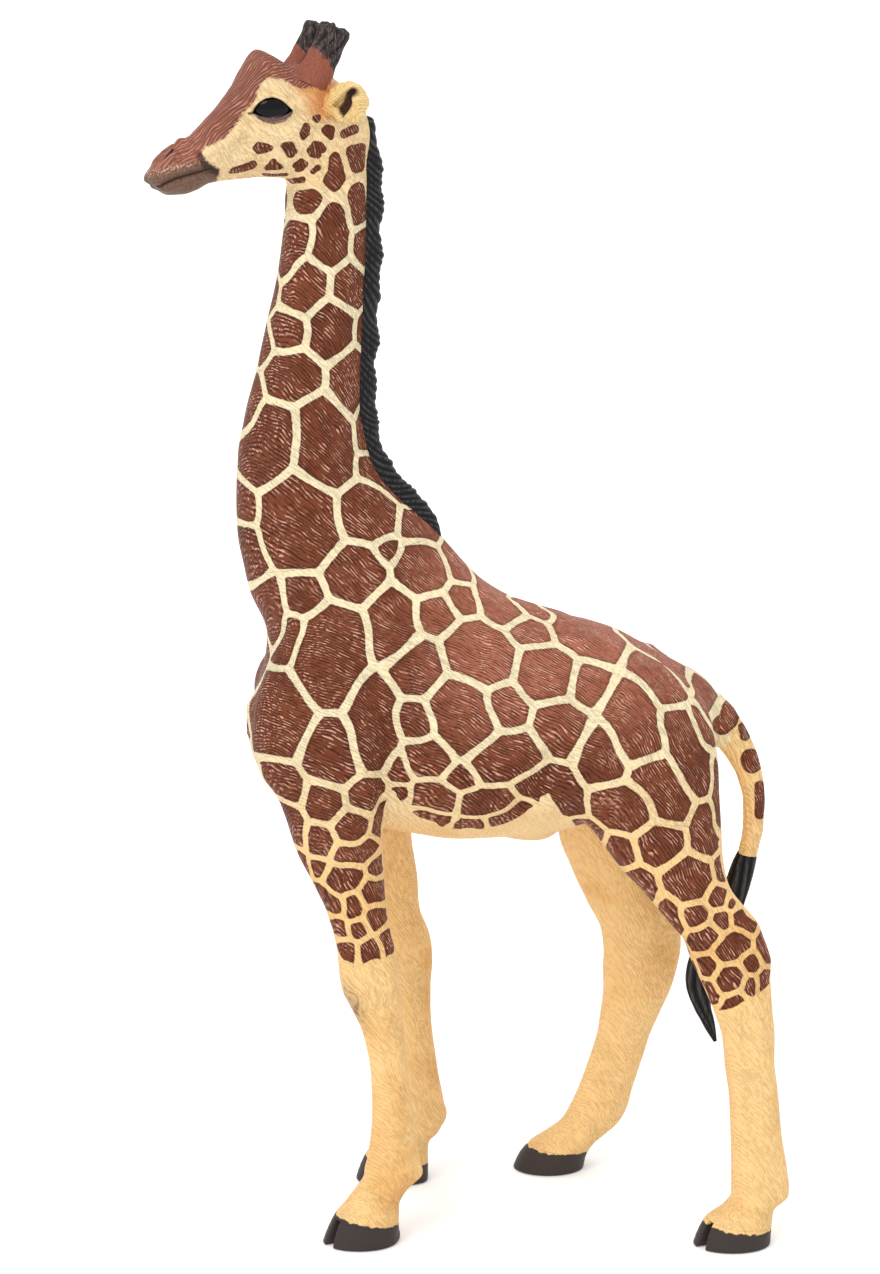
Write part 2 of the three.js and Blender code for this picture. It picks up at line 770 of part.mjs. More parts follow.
for (const leg of legs) {
  const loft = legLoft(leg);
  const seam = legSeam(leg);
  const shoe = hoofSeam(leg);
  const upper = keepBeyond(loft, seam.normal, seam.point, glueGap / 2);
  const peg = rodOf(seam.centre, seam.normal, legPegRadius, legPegLength, cutOverrun);
  const socket = rodOf(
    seam.centre,
    seam.normal,
    legPegRadius + socketClearance,
    legPegLength + socketClearance,
    cutOverrun,
  );
  trunk = sum(trunk, upper).subtract(socket);
  const limb = keepBeyond(
    keepBeyond(loft, seam.normal.clone().negate(), seam.point, glueGap / 2).subtract(grownTrunk),
    shoe.normal,
    shoe.centre,
    glueGap / 2,
  );
  const hoofPeg = rodOf(shoe.centre, down, hoofPegRadius, hoofPegLength, glueGap + hoofPegLength);
  figure.add(meshOf(leg.name, sum(limb, peg, hoofPeg), legCream));

  const hoofSocket = rodOf(
    shoe.centre,
    down,
    hoofPegRadius + socketClearance,
    hoofPegLength + socketClearance,
    cutOverrun,
  );
  const toeX = legPlace(leg, 0).x - (leg.shares[0][2] * leg.depth) / 2;
  const cleft = new THREE.BoxGeometry(cleftLength + cutOverrun, cleftWidth, 2 * hoofHeight);
  cleft.translate(toeX + (cleftLength - cutOverrun) / 2, legPlace(leg, 0).y, hoofHeight / 2);
  const hoof = keepBeyond(loft, shoe.normal.clone().negate(), shoe.centre, glueGap / 2)
    .subtract(hoofSocket)
    .subtract(solidOf(cleft));
  figure.add(meshOf(leg.hoof, hoof, hoofBlack));
}

// Neck with a peg at each end.
const neckPeg = rodOf(
  neckSeam.point,
  neckSeam.normal.clone().negate(),
  neckPegRadius,
  neckPegLength,
  cutOverrun,
);
const headPeg = rodOf(headSeam.point, headSeam.normal, headPegRadius, headPegLength, cutOverrun);
const neckPiece = keepBeyond(
  keepBeyond(headAndNeck, neckSeam.normal, neckSeam.point, glueGap / 2),
  headSeam.normal.clone().negate(),
  headSeam.point,
  glueGap / 2,
);
figure.add(meshOf("neck", sum(neckPiece, neckPeg, headPeg), coatBrown));
figure.add(meshOf("mane", maneStrip().subtract(grownHead), maneBlack));

// Head with its sockets.
let head = keepBeyond(headAndNeck, headSeam.normal, headSeam.point, glueGap / 2).subtract(
  rodOf(
    headSeam.point,
    headSeam.normal,
    headPegRadius + socketClearance,
    headPegLength + socketClearance,
    cutOverrun,
  ),
);
for (const [word, side] of [
  ["left", -1],
  ["right", 1],
]) {
  const horn = ossicone(side);
  const leaf = ear(side);
  const plugs = [
    { name: "_ossicone", ...horn, size: ossiconeLength, radius: ossiconePegRadius,
      length: ossiconePegLength, material: maneBlack },
    { name: "_ear", ...leaf, size: earLength, radius: earPegRadius,
      length: earPegLength, material: legCream },
  ];
  for (const { name, solid, base, direction, size, radius, length, material } of plugs) {
    const inward = direction.clone().negate();
    const reach = plugRootShare * size;
    head = head.subtract(
      rodOf(base, inward, radius + socketClearance, length + socketClearance, cutOverrun),
    );
    const shown = solid.subtract(grownHead);
    figure.add(meshOf(word + name, sum(shown, rodOf(base, inward, radius, length, reach)), material));
  }
  head = head.subtract(eyeBall(side, socketClearance));
  figure.add(meshOf(word + "_eye", eyeBall(side), eyeGloss));
}
figure.add(meshOf("head", head, coatBrown));

// Tail and tuft.
const tailRun = tailPlaces[1].point.clone().sub(tailPlaces[2].point).normalize();
const tailPegStart = tailPlaces[1].point;
const tailTrim = sum(
  pathSolid(tailPlaces, 1).subtract(grownTrunk),
  rodOf(tailPegStart, tailRun, tailPegRadius, tailPegLength, tailThickness / 2),
  rodOf(tailEnd, down, tuftPegRadius, tuftPegLength, tuftPegLength),
);
trunk = trunk.subtract(
  rodOf(
    tailPegStart,
    tailRun,
    tailPegRadius + socketClearance,
    tailPegLength + socketClearance,
    cutOverrun,
  ),
);
const tuft = pathSolid(tuftPlaces, tuftFlatShare).subtract(
  rodOf(tailEnd, down, tuftPegRadius + socketClearance, tuftPegLength + socketClearance, glueGap),
);
figure.add(meshOf("tail", tailTrim, coatBrown));
figure.add(meshOf("tail_tuft", tuft, maneBlack));

// Trunk shells: hollow in the barrel, open to the sockets of the neck and legs, pinned on the mid plane.
const neckSocket = rodOf(
  neckSeam.point,
  neckSeam.normal.clone().negate(),
  neckPegRadius + socketClearance,
  neckPegLength + socketClearance,
  cutOverrun,
);
const barrel = trunkLoft(-cavityWall);
const barrelFrom = chestX + barrelShares.from * trunkLength;
const barrelTo = chestX + barrelShares.to * trunkLength;
const cavity = keepBeyond(
  keepBeyond(barrel, new THREE.Vector3(1, 0, 0), new THREE.Vector3(barrelFrom, 0, 0)),
  new THREE.Vector3(-1, 0, 0),
  new THREE.Vector3(barrelTo, 0, 0),
);
trunk = trunk.subtract(neckSocket).subtract(cavity);
const pinPlaces = [
  new THREE.Vector3((chestX + barrelFrom) / 2, 0, trunkAxisHeight),
  new THREE.Vector3((barrelTo + tailRoot.x) / 2, 0, trunkAxisHeight - trunkDepth / 5),
];
const toRight = new THREE.Vector3(0, 1, 0);
const toLeft = new THREE.Vector3(0, -1, 0);
const origin = new THREE.Vector3();
let leftShell = keepBeyond(trunk, toLeft, origin, glueGap / 2);
let rightShell = keepBeyond(trunk, toRight, origin, glueGap / 2);
for (const place of pinPlaces) {
  leftShell = sum(leftShell, rodOf(place, toRight, shellPinRadius, shellPinLength, shellPinLength));
  rightShell = rightShell.subtract(
    rodOf(place, toRight, shellPinRadius + socketClearance, shellPinLength + socketClearance, cutOverrun),
  );
}
figure.add(meshOf("trunk_left_shell", leftShell, coatBrown));
figure.add(meshOf("trunk_right_shell", rightShell, coatBrown));

// The part's origin is on the floor, under the middle of its outline.
const outline = new THREE.Box3().setFromObject(figure);
const middle = outline.getCenter(new THREE.Vector3());
figure.position.set(-middle.x, -middle.y, -outline.min.z);

export default figure;
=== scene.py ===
"""Hand-painted plastic giraffe: moulded skin, reticulated coat, face, mane, tail, hooves and studio."""

from __future__ import annotations

import logging
import math
from dataclasses import dataclass, field
from enum import Enum
from functools import cache
from typing import Callable, Iterable, Sequence

import bmesh
import bpy
import numpy as np
import openvdb
from mathutils import Matrix, Vector

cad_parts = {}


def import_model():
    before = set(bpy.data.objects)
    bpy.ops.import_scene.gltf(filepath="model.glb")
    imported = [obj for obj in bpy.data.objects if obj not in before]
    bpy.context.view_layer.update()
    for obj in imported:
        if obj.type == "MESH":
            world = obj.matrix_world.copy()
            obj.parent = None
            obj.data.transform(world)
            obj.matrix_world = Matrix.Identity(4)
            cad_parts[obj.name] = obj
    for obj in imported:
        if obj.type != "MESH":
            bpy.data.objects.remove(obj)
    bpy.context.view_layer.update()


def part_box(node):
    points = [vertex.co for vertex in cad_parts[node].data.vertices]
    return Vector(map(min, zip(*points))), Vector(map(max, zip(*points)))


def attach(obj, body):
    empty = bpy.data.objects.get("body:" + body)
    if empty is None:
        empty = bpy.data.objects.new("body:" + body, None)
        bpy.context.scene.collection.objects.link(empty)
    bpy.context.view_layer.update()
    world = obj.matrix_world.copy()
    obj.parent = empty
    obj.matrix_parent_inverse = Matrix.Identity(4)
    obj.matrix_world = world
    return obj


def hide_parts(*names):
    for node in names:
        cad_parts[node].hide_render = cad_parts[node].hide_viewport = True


LOG = logging.getLogger("giraffe")

MM = 0.001
BODY = "root"
# Above this height a point is the head's, whose middle plane is turned.
CHIN_HEIGHT = 186.0

Array = np.ndarray
Point = tuple[float, float, float]
Pixel = tuple[float, float]
Rows = tuple[tuple[float, ...], ...]
Colour = tuple[float, float, float, float]
Limits = tuple[float, float]


# Sizes of the figure in millimetres. Sections are shares of the named sizes above them.

TRUNK_LENGTH = 87.0
TRUNK_DEPTH = 50.0
TRUNK_WIDTH = 36.0
AXIS_HEIGHT = 100.0
CHEST_X = -41.2
NECK_LENGTH = 100.0
NECK_DEPTH = 40.0
NECK_WIDTH = 20.0
HEAD_LENGTH = 42.0
HEAD_DEPTH = 20.0
HEAD_WIDTH = 15.0
HEAD_TURN = math.radians(22)
LEG_DEPTH = 20.0
LEG_WIDTH = 10.0
FORE_STANCE = 33.0
HIND_STANCE = 42.0
SHOULDER_SPACING = 17.0
HIP_SPACING = 19.0
HOOF_HEIGHT = 4.4
HOOF_SLOPE = math.radians(8)
NECK_SEAM_RISE = 27.5
NECK_SEAM_SLOPE = math.radians(11)
HEAD_SEAM_SLOPE = math.radians(30)
LEG_SEAM_SLOPE = math.radians(26)
LEG_SEAM_DROP = 2.6
MANE_PROUD = 2.8
SHEATH_LENGTH = 9.0
SHEATH_DEPTH = 4.4
SHEATH_WIDTH = 5.0
TAIL_DROP = 30.0
TAIL_REACH = 12.0
TAIL_THICKNESS = 10.0
TUFT_LENGTH = 36.5
TUFT_THICKNESS = 5.2
OSSICONE_LENGTH = 12.0
OSSICONE_RADIUS = 2.5
EAR_LENGTH = 8.4
EAR_WIDTH = 7.4
EAR_THICKNESS = 4.6

TRUNK_ROWS: Rows = (
    (0, -0.03, 0.13, 0.03), (0.015, 0.01, 0.23, 0.125), (0.05, 0.16, 0.33, 0.24),
    (0.12, 0.3, 0.415, 0.335), (0.22, 0.41, 0.47, 0.405), (0.33, 0.455, 0.51, 0.46),
    (0.45, 0.435, 0.54, 0.49), (0.57, 0.35, 0.53, 0.5), (0.68, 0.29, 0.49, 0.495),
    (0.78, 0.238, 0.43, 0.465), (0.87, 0.15, 0.37, 0.405), (0.94, 0.085, 0.32, 0.31),
    (0.98, 0.03, 0.26, 0.19), (1, -0.03, 0.18, 0.03),
)
NECK_ROWS: Rows = (
    (0.04, -0.105, 0.98, 0.56), (0.12, -0.102, 1.08, 0.61), (0.2, -0.138, 1.05, 0.6),
    (0.25, -0.159, 1, 0.575), (0.295, -0.182, 0.93, 0.55), (0.34, -0.203, 0.84, 0.525),
    (0.385, -0.227, 0.72, 0.505), (0.43, -0.243, 0.63, 0.485), (0.475, -0.248, 0.585, 0.47),
    (0.52, -0.248, 0.535, 0.45), (0.606, -0.237, 0.48, 0.415), (0.693, -0.225, 0.44, 0.385),
    (0.78, -0.213, 0.4, 0.365), (0.867, -0.205, 0.38, 0.35), (0.91, -0.202, 0.365, 0.35),
    (0.97, -0.195, 0.33, 0.34), (1.02, -0.19, 0.24, 0.27),
)
HEAD_ROWS: Rows = (
    (-0.165, 0.225, 0, 0.05), (-0.12, 0.425, -0.15, 0.38), (-0.05, 0.585, -0.25, 0.44),
    (0.04, 0.695, -0.3, 0.465), (0.12, 0.745, -0.3, 0.485), (0.2, 0.785, -0.23, 0.49),
    (0.27, 0.865, -0.21, 0.475), (0.33, 0.915, -0.21, 0.45), (0.39, 0.77, -0.215, 0.4),
    (0.44, 0.6, -0.22, 0.35), (0.5, 0.445, -0.225, 0.31), (0.56, 0.325, -0.24, 0.29),
    (0.62, 0.2, -0.295, 0.28), (0.68, 0.145, -0.325, 0.28), (0.735, 0.075, -0.325, 0.27),
    (0.785, -0.025, -0.305, 0.235), (0.82, -0.115, -0.285, 0.16), (0.838, -0.175, -0.25, 0.03),
)
LEFT_FORE_ROWS: Rows = (
    (0, -0.101, 0.7, 1.1, 0), (0.025, -0.096, 0.66, 1.06, 0), (0.055, -0.088, 0.59, 0.98, 0.02),
    (0.08, -0.076, 0.5, 0.86, 0.05), (0.1, -0.062, 0.49, 0.84, 0.07), (0.13, -0.042, 0.53, 0.84, 0.1),
    (0.165, -0.039, 0.47, 0.76, 0.13), (0.22, -0.039, 0.4, 0.68, 0.18), (0.33, -0.046, 0.35, 0.65, 0.3),
    (0.4, -0.056, 0.39, 0.72, 0.37), (0.45, -0.069, 0.48, 0.88, 0.42), (0.505, -0.08, 0.54, 0.96, 0.48),
    (0.56, -0.088, 0.53, 0.92, 0.54), (0.62, -0.102, 0.55, 0.98, 0.61), (0.68, -0.118, 0.66, 1.12, 0.69),
    (0.735, -0.133, 0.785, 1.26, 0.77), (0.785, -0.141, 0.865, 1.38, 0.84), (0.83, -0.144, 1, 1.46, 0.91),
    (0.88, -0.158, 1.18, 1.52, 0.97), (0.94, -0.161, 1.27, 1.54, 1.02), (1, -0.155, 1.24, 1.46, 1.06),
    (1.08, -0.145, 1.06, 1.2, 1.1), (1.15, -0.135, 0.7, 0.7, 1.15),
)
RIGHT_FORE_ROWS: Rows = (
    (0, -0.029, 0.7, 1.1, 0), (0.025, -0.025, 0.66, 1.06, 0), (0.055, -0.018, 0.59, 0.98, 0.02),
    (0.08, -0.005, 0.5, 0.86, 0.05), (0.1, 0.014, 0.49, 0.84, 0.07), (0.13, 0.02, 0.53, 0.84, 0.1),
    (0.165, 0.023, 0.47, 0.76, 0.13), (0.22, 0.02, 0.4, 0.68, 0.18), (0.33, 0.011, 0.35, 0.65, 0.3),
    (0.4, 0.006, 0.39, 0.72, 0.37), (0.45, 0, 0.48, 0.88, 0.42), (0.505, -0.012, 0.54, 0.96, 0.48),
    (0.56, -0.03, 0.53, 0.92, 0.54), (0.62, -0.036, 0.55, 0.98, 0.61), (0.68, -0.056, 0.66, 1.12, 0.69),
    (0.735, -0.076, 0.785, 1.26, 0.77), (0.785, -0.108, 0.865, 1.38, 0.84), (0.83, -0.125, 1, 1.46, 0.91),
    (0.88, -0.145, 1.15, 1.52, 0.97), (0.94, -0.155, 1.24, 1.54, 1.02), (1, -0.155, 1.24, 1.46, 1.06),
    (1.08, -0.145, 1.06, 1.2, 1.1), (1.15, -0.135, 0.7, 0.7, 1.15),
)
LEFT_HIND_ROWS: Rows = (
    (0, 0.154, 0.72, 1.12, 0), (0.025, 0.159, 0.68, 1.08, 0), (0.05, 0.167, 0.62, 1, 0.01),
    (0.072, 0.186, 0.5, 0.86, 0.03), (0.095, 0.206, 0.535, 0.88, 0.05), (0.145, 0.204, 0.515, 0.82, 0.09),
    (0.2, 0.199, 0.475, 0.74, 0.14), (0.285, 0.193, 0.455, 0.7, 0.22), (0.34, 0.186, 0.46, 0.72, 0.28),
    (0.387, 0.184, 0.485, 0.76, 0.33), (0.437, 0.174, 0.54, 0.82, 0.38), (0.49, 0.161, 0.635, 0.92, 0.44),
    (0.54, 0.148, 0.73, 1, 0.5), (0.57, 0.137, 0.73, 1.02, 0.54), (0.605, 0.115, 0.8, 1.08, 0.59),
    (0.65, 0.078, 0.8, 1.2, 0.65), (0.705, 0.043, 0.96, 1.36, 0.72), (0.78, 0.014, 1.2, 1.54, 0.82),
    (0.84, -0.005, 1.36, 1.62, 0.9), (0.9, -0.015, 1.43, 1.58, 0.97), (0.96, -0.02, 1.36, 1.4, 1.03),
    (1.02, -0.028, 1.1, 1.1, 1.08), (1.07, -0.035, 0.6, 0.6, 1.12),
)
RIGHT_HIND_ROWS: Rows = (
    (0, -0.153, 0.69, 1.12, 0), (0.025, -0.145, 0.66, 1.08, 0), (0.05, -0.128, 0.64, 1, 0.01),
    (0.072, -0.1, 0.6, 0.88, 0.03), (0.095, -0.074, 0.58, 0.86, 0.05), (0.13, -0.055, 0.56, 0.82, 0.08),
    (0.165, -0.044, 0.525, 0.76, 0.12), (0.21, -0.03, 0.515, 0.72, 0.16),
    (0.267, -0.014, 0.51, 0.72, 0.22), (0.325, 0.001, 0.575, 0.78, 0.28), (0.38, 0.014, 0.66, 0.88, 0.34),
    (0.42, 0.018, 0.715, 0.96, 0.38), (0.455, 0.021, 0.74, 1, 0.42), (0.495, 0.018, 0.76, 1.04, 0.47),
    (0.56, -0.008, 0.8, 1.12, 0.55), (0.625, -0.03, 0.87, 1.24, 0.64), (0.69, -0.042, 1, 1.38, 0.72),
    (0.78, -0.04, 1.2, 1.54, 0.82), (0.84, -0.03, 1.34, 1.62, 0.9), (0.9, -0.022, 1.42, 1.58, 0.97),
    (0.96, -0.02, 1.36, 1.4, 1.03), (1.02, -0.028, 1.1, 1.1, 1.08), (1.07, -0.035, 0.6, 0.6, 1.12),
)
TAIL_ROWS: Rows = (
    (-0.12, -0.42, 0.78), (0, 0.13, 0.66), (0.106, 0.31, 0.62), (0.22, 0.475, 0.545),
    (0.354, 0.615, 0.465), (0.524, 0.692, 0.4), (0.697, 0.687, 0.375), (0.875, 0.605, 0.345),
)
TUFT_ROWS: Rows = (
    (0, 0, 0.68), (0.063, -0.02, 0.78), (0.148, -0.044, 0.88), (0.243, -0.078, 0.96), (0.35, -0.123, 1),
    (0.472, -0.178, 1), (0.589, -0.223, 0.96), (0.696, -0.236, 0.84), (0.798, -0.22, 0.64),
    (0.896, -0.186, 0.4), (1, -0.149, 0.1),
)
MANE_FOOT: Pixel = (0.304, 0.008)
MANE_TOP: tuple[Pixel, ...] = ((1.02, -0.137), (1.07, -0.154))
MANE_FROM = 0.33
SHOULDER_ALONG = 0.345
HIP_ALONG = 0.84
NECK_ALONG = 0.41
HEAD_SET_BACK = -0.197
HEAD_SEAM_DROP = 0.3
TAIL_ROOT = (0.985, -0.1)
SHEATH_PLACE = (0.59, 0.509)


HORN_PLACE = (0.122, 0.58, 0.25)
HORN_LEAN_BACK = math.radians(26)
HORN_LEAN_OUT = math.radians(-3)
EYE_PLACE = (0.31, 0.42, 0.46)
EYE_FORWARD = 0.4
EYE_SINK = 1.8
EAR_PLACE = (0.07, 0.43, 0.4)
EAR_POINTING = (0.45, 0.85, 0.12)
# Height of the hoof paint at the toe and at the heel, leg by leg.
HOOF_TOPS = ((6.1, 4.0), (5.2, 3.6), (4.8, 3.2), (5.0, 4.0))

# Coat patches as they lie in the photograph: reach of the patch, then the pixels its middle runs through.

COAT_PATCHES: tuple[tuple[float, tuple[Pixel, ...]], ...] = (
    (3.5, ((301, 132), (304, 127), (307, 127), (306, 133), (303, 136), (301, 132))),
    (2.6, ((315, 118.5), (318, 117.5), (317, 120))),
    (2.8, ((324, 130), (327, 128), (332, 129), (331, 137), (324, 130))),
    (4, ((344, 134), (355, 129))),
    (3, ((256, 148), (259, 144.5), (264, 145), (270, 147.5), (265, 149.5), (259, 151), (256, 148))),
    (4.4, ((284, 144), (290, 144), (293, 150), (290, 153), (284, 144), (288, 148))),
    (
        3.6,
        (
            (310, 150), (315, 145), (320, 146), (323, 150), (317, 151), (318, 156), (313, 154), (310, 150),
            (316, 150),
        ),
    ),
    (5.5, ((335, 158), (334, 172), (329, 181), (335, 186), (340, 178), (335, 158))),
    (6.5, ((352, 152), (361, 150), (361, 165), (356, 166), (352, 152))),
    (4.6, ((234, 171.5), (243, 169), (252, 165))),
    (3.8, ((268, 167), (273, 161), (280, 165), (268, 167))),
    (4.2, ((296, 164), (300, 161), (304, 164), (299, 168))),
    (2.6, ((313, 171), (318, 167.5))),
    (4, ((266, 175), (284, 173.5))),
    (4, ((290, 179.5), (303, 178.5))),
    (11.5, ((303, 202), (311, 201))),
    (12, ((358, 195), (360, 210))),
    (11, ((298, 234), (287, 263))),
    (13, ((333, 216), (329, 252))),
    (10, ((364, 240), (364, 256))),
    (18, ((308, 283), (301, 294))),
    (19, ((352, 286),)),
    (8, ((274, 292),)),
    (16, ((289, 330),)),
    (20, ((331, 325), (331, 338))),
    (10, ((363, 330),)),
    (8, ((264, 347),)),
    (21, ((287, 379), (297, 376))),
    (19, ((350, 372), (350, 392))),
    (10, ((254, 395), (250, 408))),
    (22, ((275, 428), (262, 460))),
    (26, ((323, 425), (330, 462))),
    (8, ((362, 420), (364, 442))),
    (36, ((299, 515), (300, 532))),
    (25, ((364, 511), (374, 513))),
    (9, ((367, 465), (398, 494))),
    (12, ((245, 506),)),
    (11, ((247, 541), (254, 566))),
    (13, ((412, 526), (428, 527))),
    (8, ((389, 549),)),
    (27, ((354, 576),)),
    (25, ((422, 568),)),
    (19, ((303, 596),)),
    (14, ((270, 596), (269, 620))),
    (22, ((391, 613), (391, 640))),
    (17, ((436, 614),)),
    (8, ((450, 553), (460, 572))),
    (13, ((463, 600),)),
    (34, ((335, 640), (328, 672))),
    (9, ((296, 628), (283, 652))),
    (5, ((266, 652),)),
    (33, ((277, 708), (281, 722))),
    (26, ((328, 745), (334, 760))),
    (22, ((372, 698), (372, 748))),
    (26, ((415, 668),)),
    (29, ((476, 652), (486, 656))),
    (15, ((412, 718), (416, 724))),
    (27, ((458, 706), (466, 728))),
    (17, ((422, 759), (432, 757))),
    (7, ((398, 764), (400, 775))),
    (14, ((277, 776), (290, 790))),
    (19, ((323, 801),)),
    (17, ((364, 794),)),
    (11, ((462, 778),)),
    (14, ((427, 796), (442, 800))),
    (4, ((404, 793),)),
    (13, ((474, 804), (500, 801))),
    (11, ((290, 815), (297, 838))),
    (15, ((352, 826),)),
    (5, ((380, 812), (377, 828))),
    (14, ((318, 842),)),
    (4, ((425, 814), (447, 821))),
    (4, ((458, 824), (480, 824))),
    (5, ((494, 822), (520, 810))),
    (16, ((492, 600), (502, 612))),
    (4, ((514, 600), (530, 608), (545, 616))),
    (13, ((524, 632), (536, 634))),
    (27, ((545, 672),)),
    (20, ((575, 634), (606, 648))),
    (19, ((594, 684),)),
    (14, ((504, 702), (513, 716))),
    (23, ((556, 728), (566, 734))),
    (22, ((494, 761), (520, 752))),
    (20, ((596, 748), (603, 765))),
    (11, ((530, 789), (546, 779), (562, 782), (569, 795), (570, 805))),
    (8, ((581, 819), (597, 832))),
    (24, ((628, 704), (640, 738))),
    (16, ((640, 664), (668, 690))),
    (5, ((642, 646), (655, 655), (672, 668), (688, 684))),
    (13, ((700, 693), (705, 705))),
    (5, ((698, 713), (706, 735))),
    (17, ((676, 726), (698, 778))),
    (20, ((653, 776), (672, 802))),
    (21, ((613, 806), (630, 808))),
    (14, ((704, 820), (704, 842))),
    (4, ((716, 770), (717, 820))),
    (15, ((619, 852),)),
    (21, ((662, 845),)),
    (14, ((641, 882), (650, 896))),
    (24, ((689, 879),)),
    (15, ((664, 908), (670, 920))),
    (12, ((695, 916),)),
    (9, ((717, 897),)),
    (2, ((731, 905),)),
    (8, ((722, 921),)),
    (6, ((739, 919), (748, 927))),
    (10, ((699, 942), (708, 936))),
    (4, ((677, 939),)),
    (11, ((727, 951), (740, 943))),
    (6, ((760, 943), (764, 955))),
    (4, ((689, 955), (694, 966))),
    (10, ((707, 966),)),
    (8, ((752, 963),)),
    (13, ((730, 979),)),
    (4, ((709, 987), (715, 1000))),
    (5, ((750, 984), (749, 993))),
    (5, ((764, 977), (765, 991))),
    (9, ((728, 1012), (739, 1003))),
    (3, ((718, 866), (720, 876))),
    (8, ((344, 854), (356, 855), (369, 849))),
    (5, ((300, 853), (305, 865))),
    (8, ((318, 868),)),
    (12, ((338, 880), (349, 878))),
    (8, ((376, 867),)),
    (10, ((370, 892), (378, 892))),
    (9, ((324, 895), (335, 908))),
    (7, ((354, 902), (352, 912))),
    (10, ((377, 918),)),
    (7, ((338, 923), (342, 932))),
    (8, ((357, 930),)),
    (4, ((385, 936), (392, 947))),
    (7, ((369, 949),)),
    (8, ((346, 948),)),
)
TAIL_PATCHES: tuple[tuple[float, tuple[Pixel, ...]], ...] = (
    (10, ((732, 708), (728, 720), (722, 725))), (5, ((743, 727), (745, 736))),
    (10.5, ((751, 759), (752, 763))), (5.5, ((760, 786), (760, 814))),
)
# Start of the tail: the rump's coat ends at its left edge.
TAIL_ZONE: tuple[Pixel, ...] = (
    (724, 690), (714, 708), (705, 723), (712, 742), (736, 790), (790, 790), (760, 690),
)

# Plain strip over the belly and the groin: no patch lies inside it.
BELLY_EDGE: tuple[Pixel, ...] = (
    (402, 807), (415, 818), (430, 826), (455, 829), (482, 829), (492, 827), (520, 820), (532, 815),
    (546, 803), (550, 797), (554, 802), (563, 815), (570, 817), (580, 832), (592, 840), (592, 900),
    (402, 900),
)

# Patches over the middle of the chest and throat: reach, then X and Z in millimetres.
FRONT_PATCHES: tuple[tuple[float, Pixel], ...] = (
    (4.2, (-41.0, 84.0)), (3.6, (-40.0, 95.0)), (3.4, (-40.0, 106.0)), (3.0, (-41.0, 116.0)),
    (3.0, (-44.0, 132.0)), (2.6, (-42.0, 146.0)), (2.4, (-39.0, 158.0)), (2.2, (-37.0, 169.0)),
    (2.0, (-35.0, 179.0)),
)

# Edge of the brown face mask on the left side of the head, from the crown round the muzzle to the jaw.
FACE_MASK: tuple[Pixel, ...] = (
    (340, 60), (331, 74), (318, 84), (303, 90), (292, 85), (281, 79), (270, 77.5), (262, 82), (258, 91),
    (256, 99), (249, 107), (243, 113), (238, 121), (231, 129), (226, 138), (214, 143.5), (204, 148),
    (202, 153), (206, 160), (212, 165), (220, 170), (218, 178), (216, 195), (120, 215), (120, 20),
    (340, 20),
)
NOSTRIL: tuple[Pixel, ...] = ((161.5, 158), (166, 154), (171, 150))
LIP_LINE: tuple[Pixel, ...] = (
    (140, 177), (150, 174), (160, 171.5), (172, 169), (186, 166), (204, 160), (222, 170),
)
MOUTH: tuple[Pixel, ...] = (
    (153, 187), (160, 186.5), (167, 182.5), (177, 178), (189, 174.5), (200, 171.5), (213, 168),
)
MOUTH_CORNER: tuple[Pixel, ...] = ((202, 156), (208, 166), (217, 171))
UPPER_LID: tuple[Pixel, ...] = (
    (253, 113), (255.5, 108), (260, 103), (266, 99.5), (273, 98.5), (280, 101), (286, 106), (292, 111),
)
LOWER_LID: tuple[Pixel, ...] = ((256, 114), (263, 118.5), (273, 120.5), (283, 118), (290.5, 112.5))
LID_LINE: tuple[Pixel, ...] = ((258, 117.5), (264, 121.5), (274, 123.5), (284, 121), (291, 115))
EYE_CORNERS: tuple[Pixel, ...] = ((249, 113.6), (256, 112))
MASK_FLECKS: tuple[Pixel, ...] = ((240, 117), (234, 124), (229, 131))
EAR_ROOT: tuple[Pixel, ...] = ((312, 84), (326, 96), (322, 104))

# Dark lines of the face: the line, its strength, and the pixels off it where it is full and where it ends.
DARK_LINES = (
    (MOUTH, 0.85, 0.6, 2.0),
    (UPPER_LID, 1.0, 0.9, 1.8),
    (EYE_CORNERS, 0.9, 0.8, 2.0),
    (LID_LINE, 0.75, 0.5, 1.5),
)


def smooth_step(low: float, high: float, values: Array) -> Array:
    """Eases values from 0 at low to 1 at high, or down where low is the greater."""
    t = np.clip((values - low) / (high - low), 0, 1)
    return t * t * (3 - 2 * t)


def parts_along(offset: Sequence[Array], axes: Sequence[Array]) -> tuple[Array, ...]:
    """Splits offsets in X, Y and Z into millimetres along each of some axes."""
    return tuple(sum(part * float(share) for part, share in zip(offset, axis)) for axis in axes)


def soft_min(first: Array, second: Array, radius: float) -> Array:
    """Joins two distance fields with a fillet of about this radius, in millimetres."""
    share = np.clip(0.5 + 0.5 * (second - first) / radius, 0, 1)
    return second + (first - second) * share - radius * share * (1 - share)


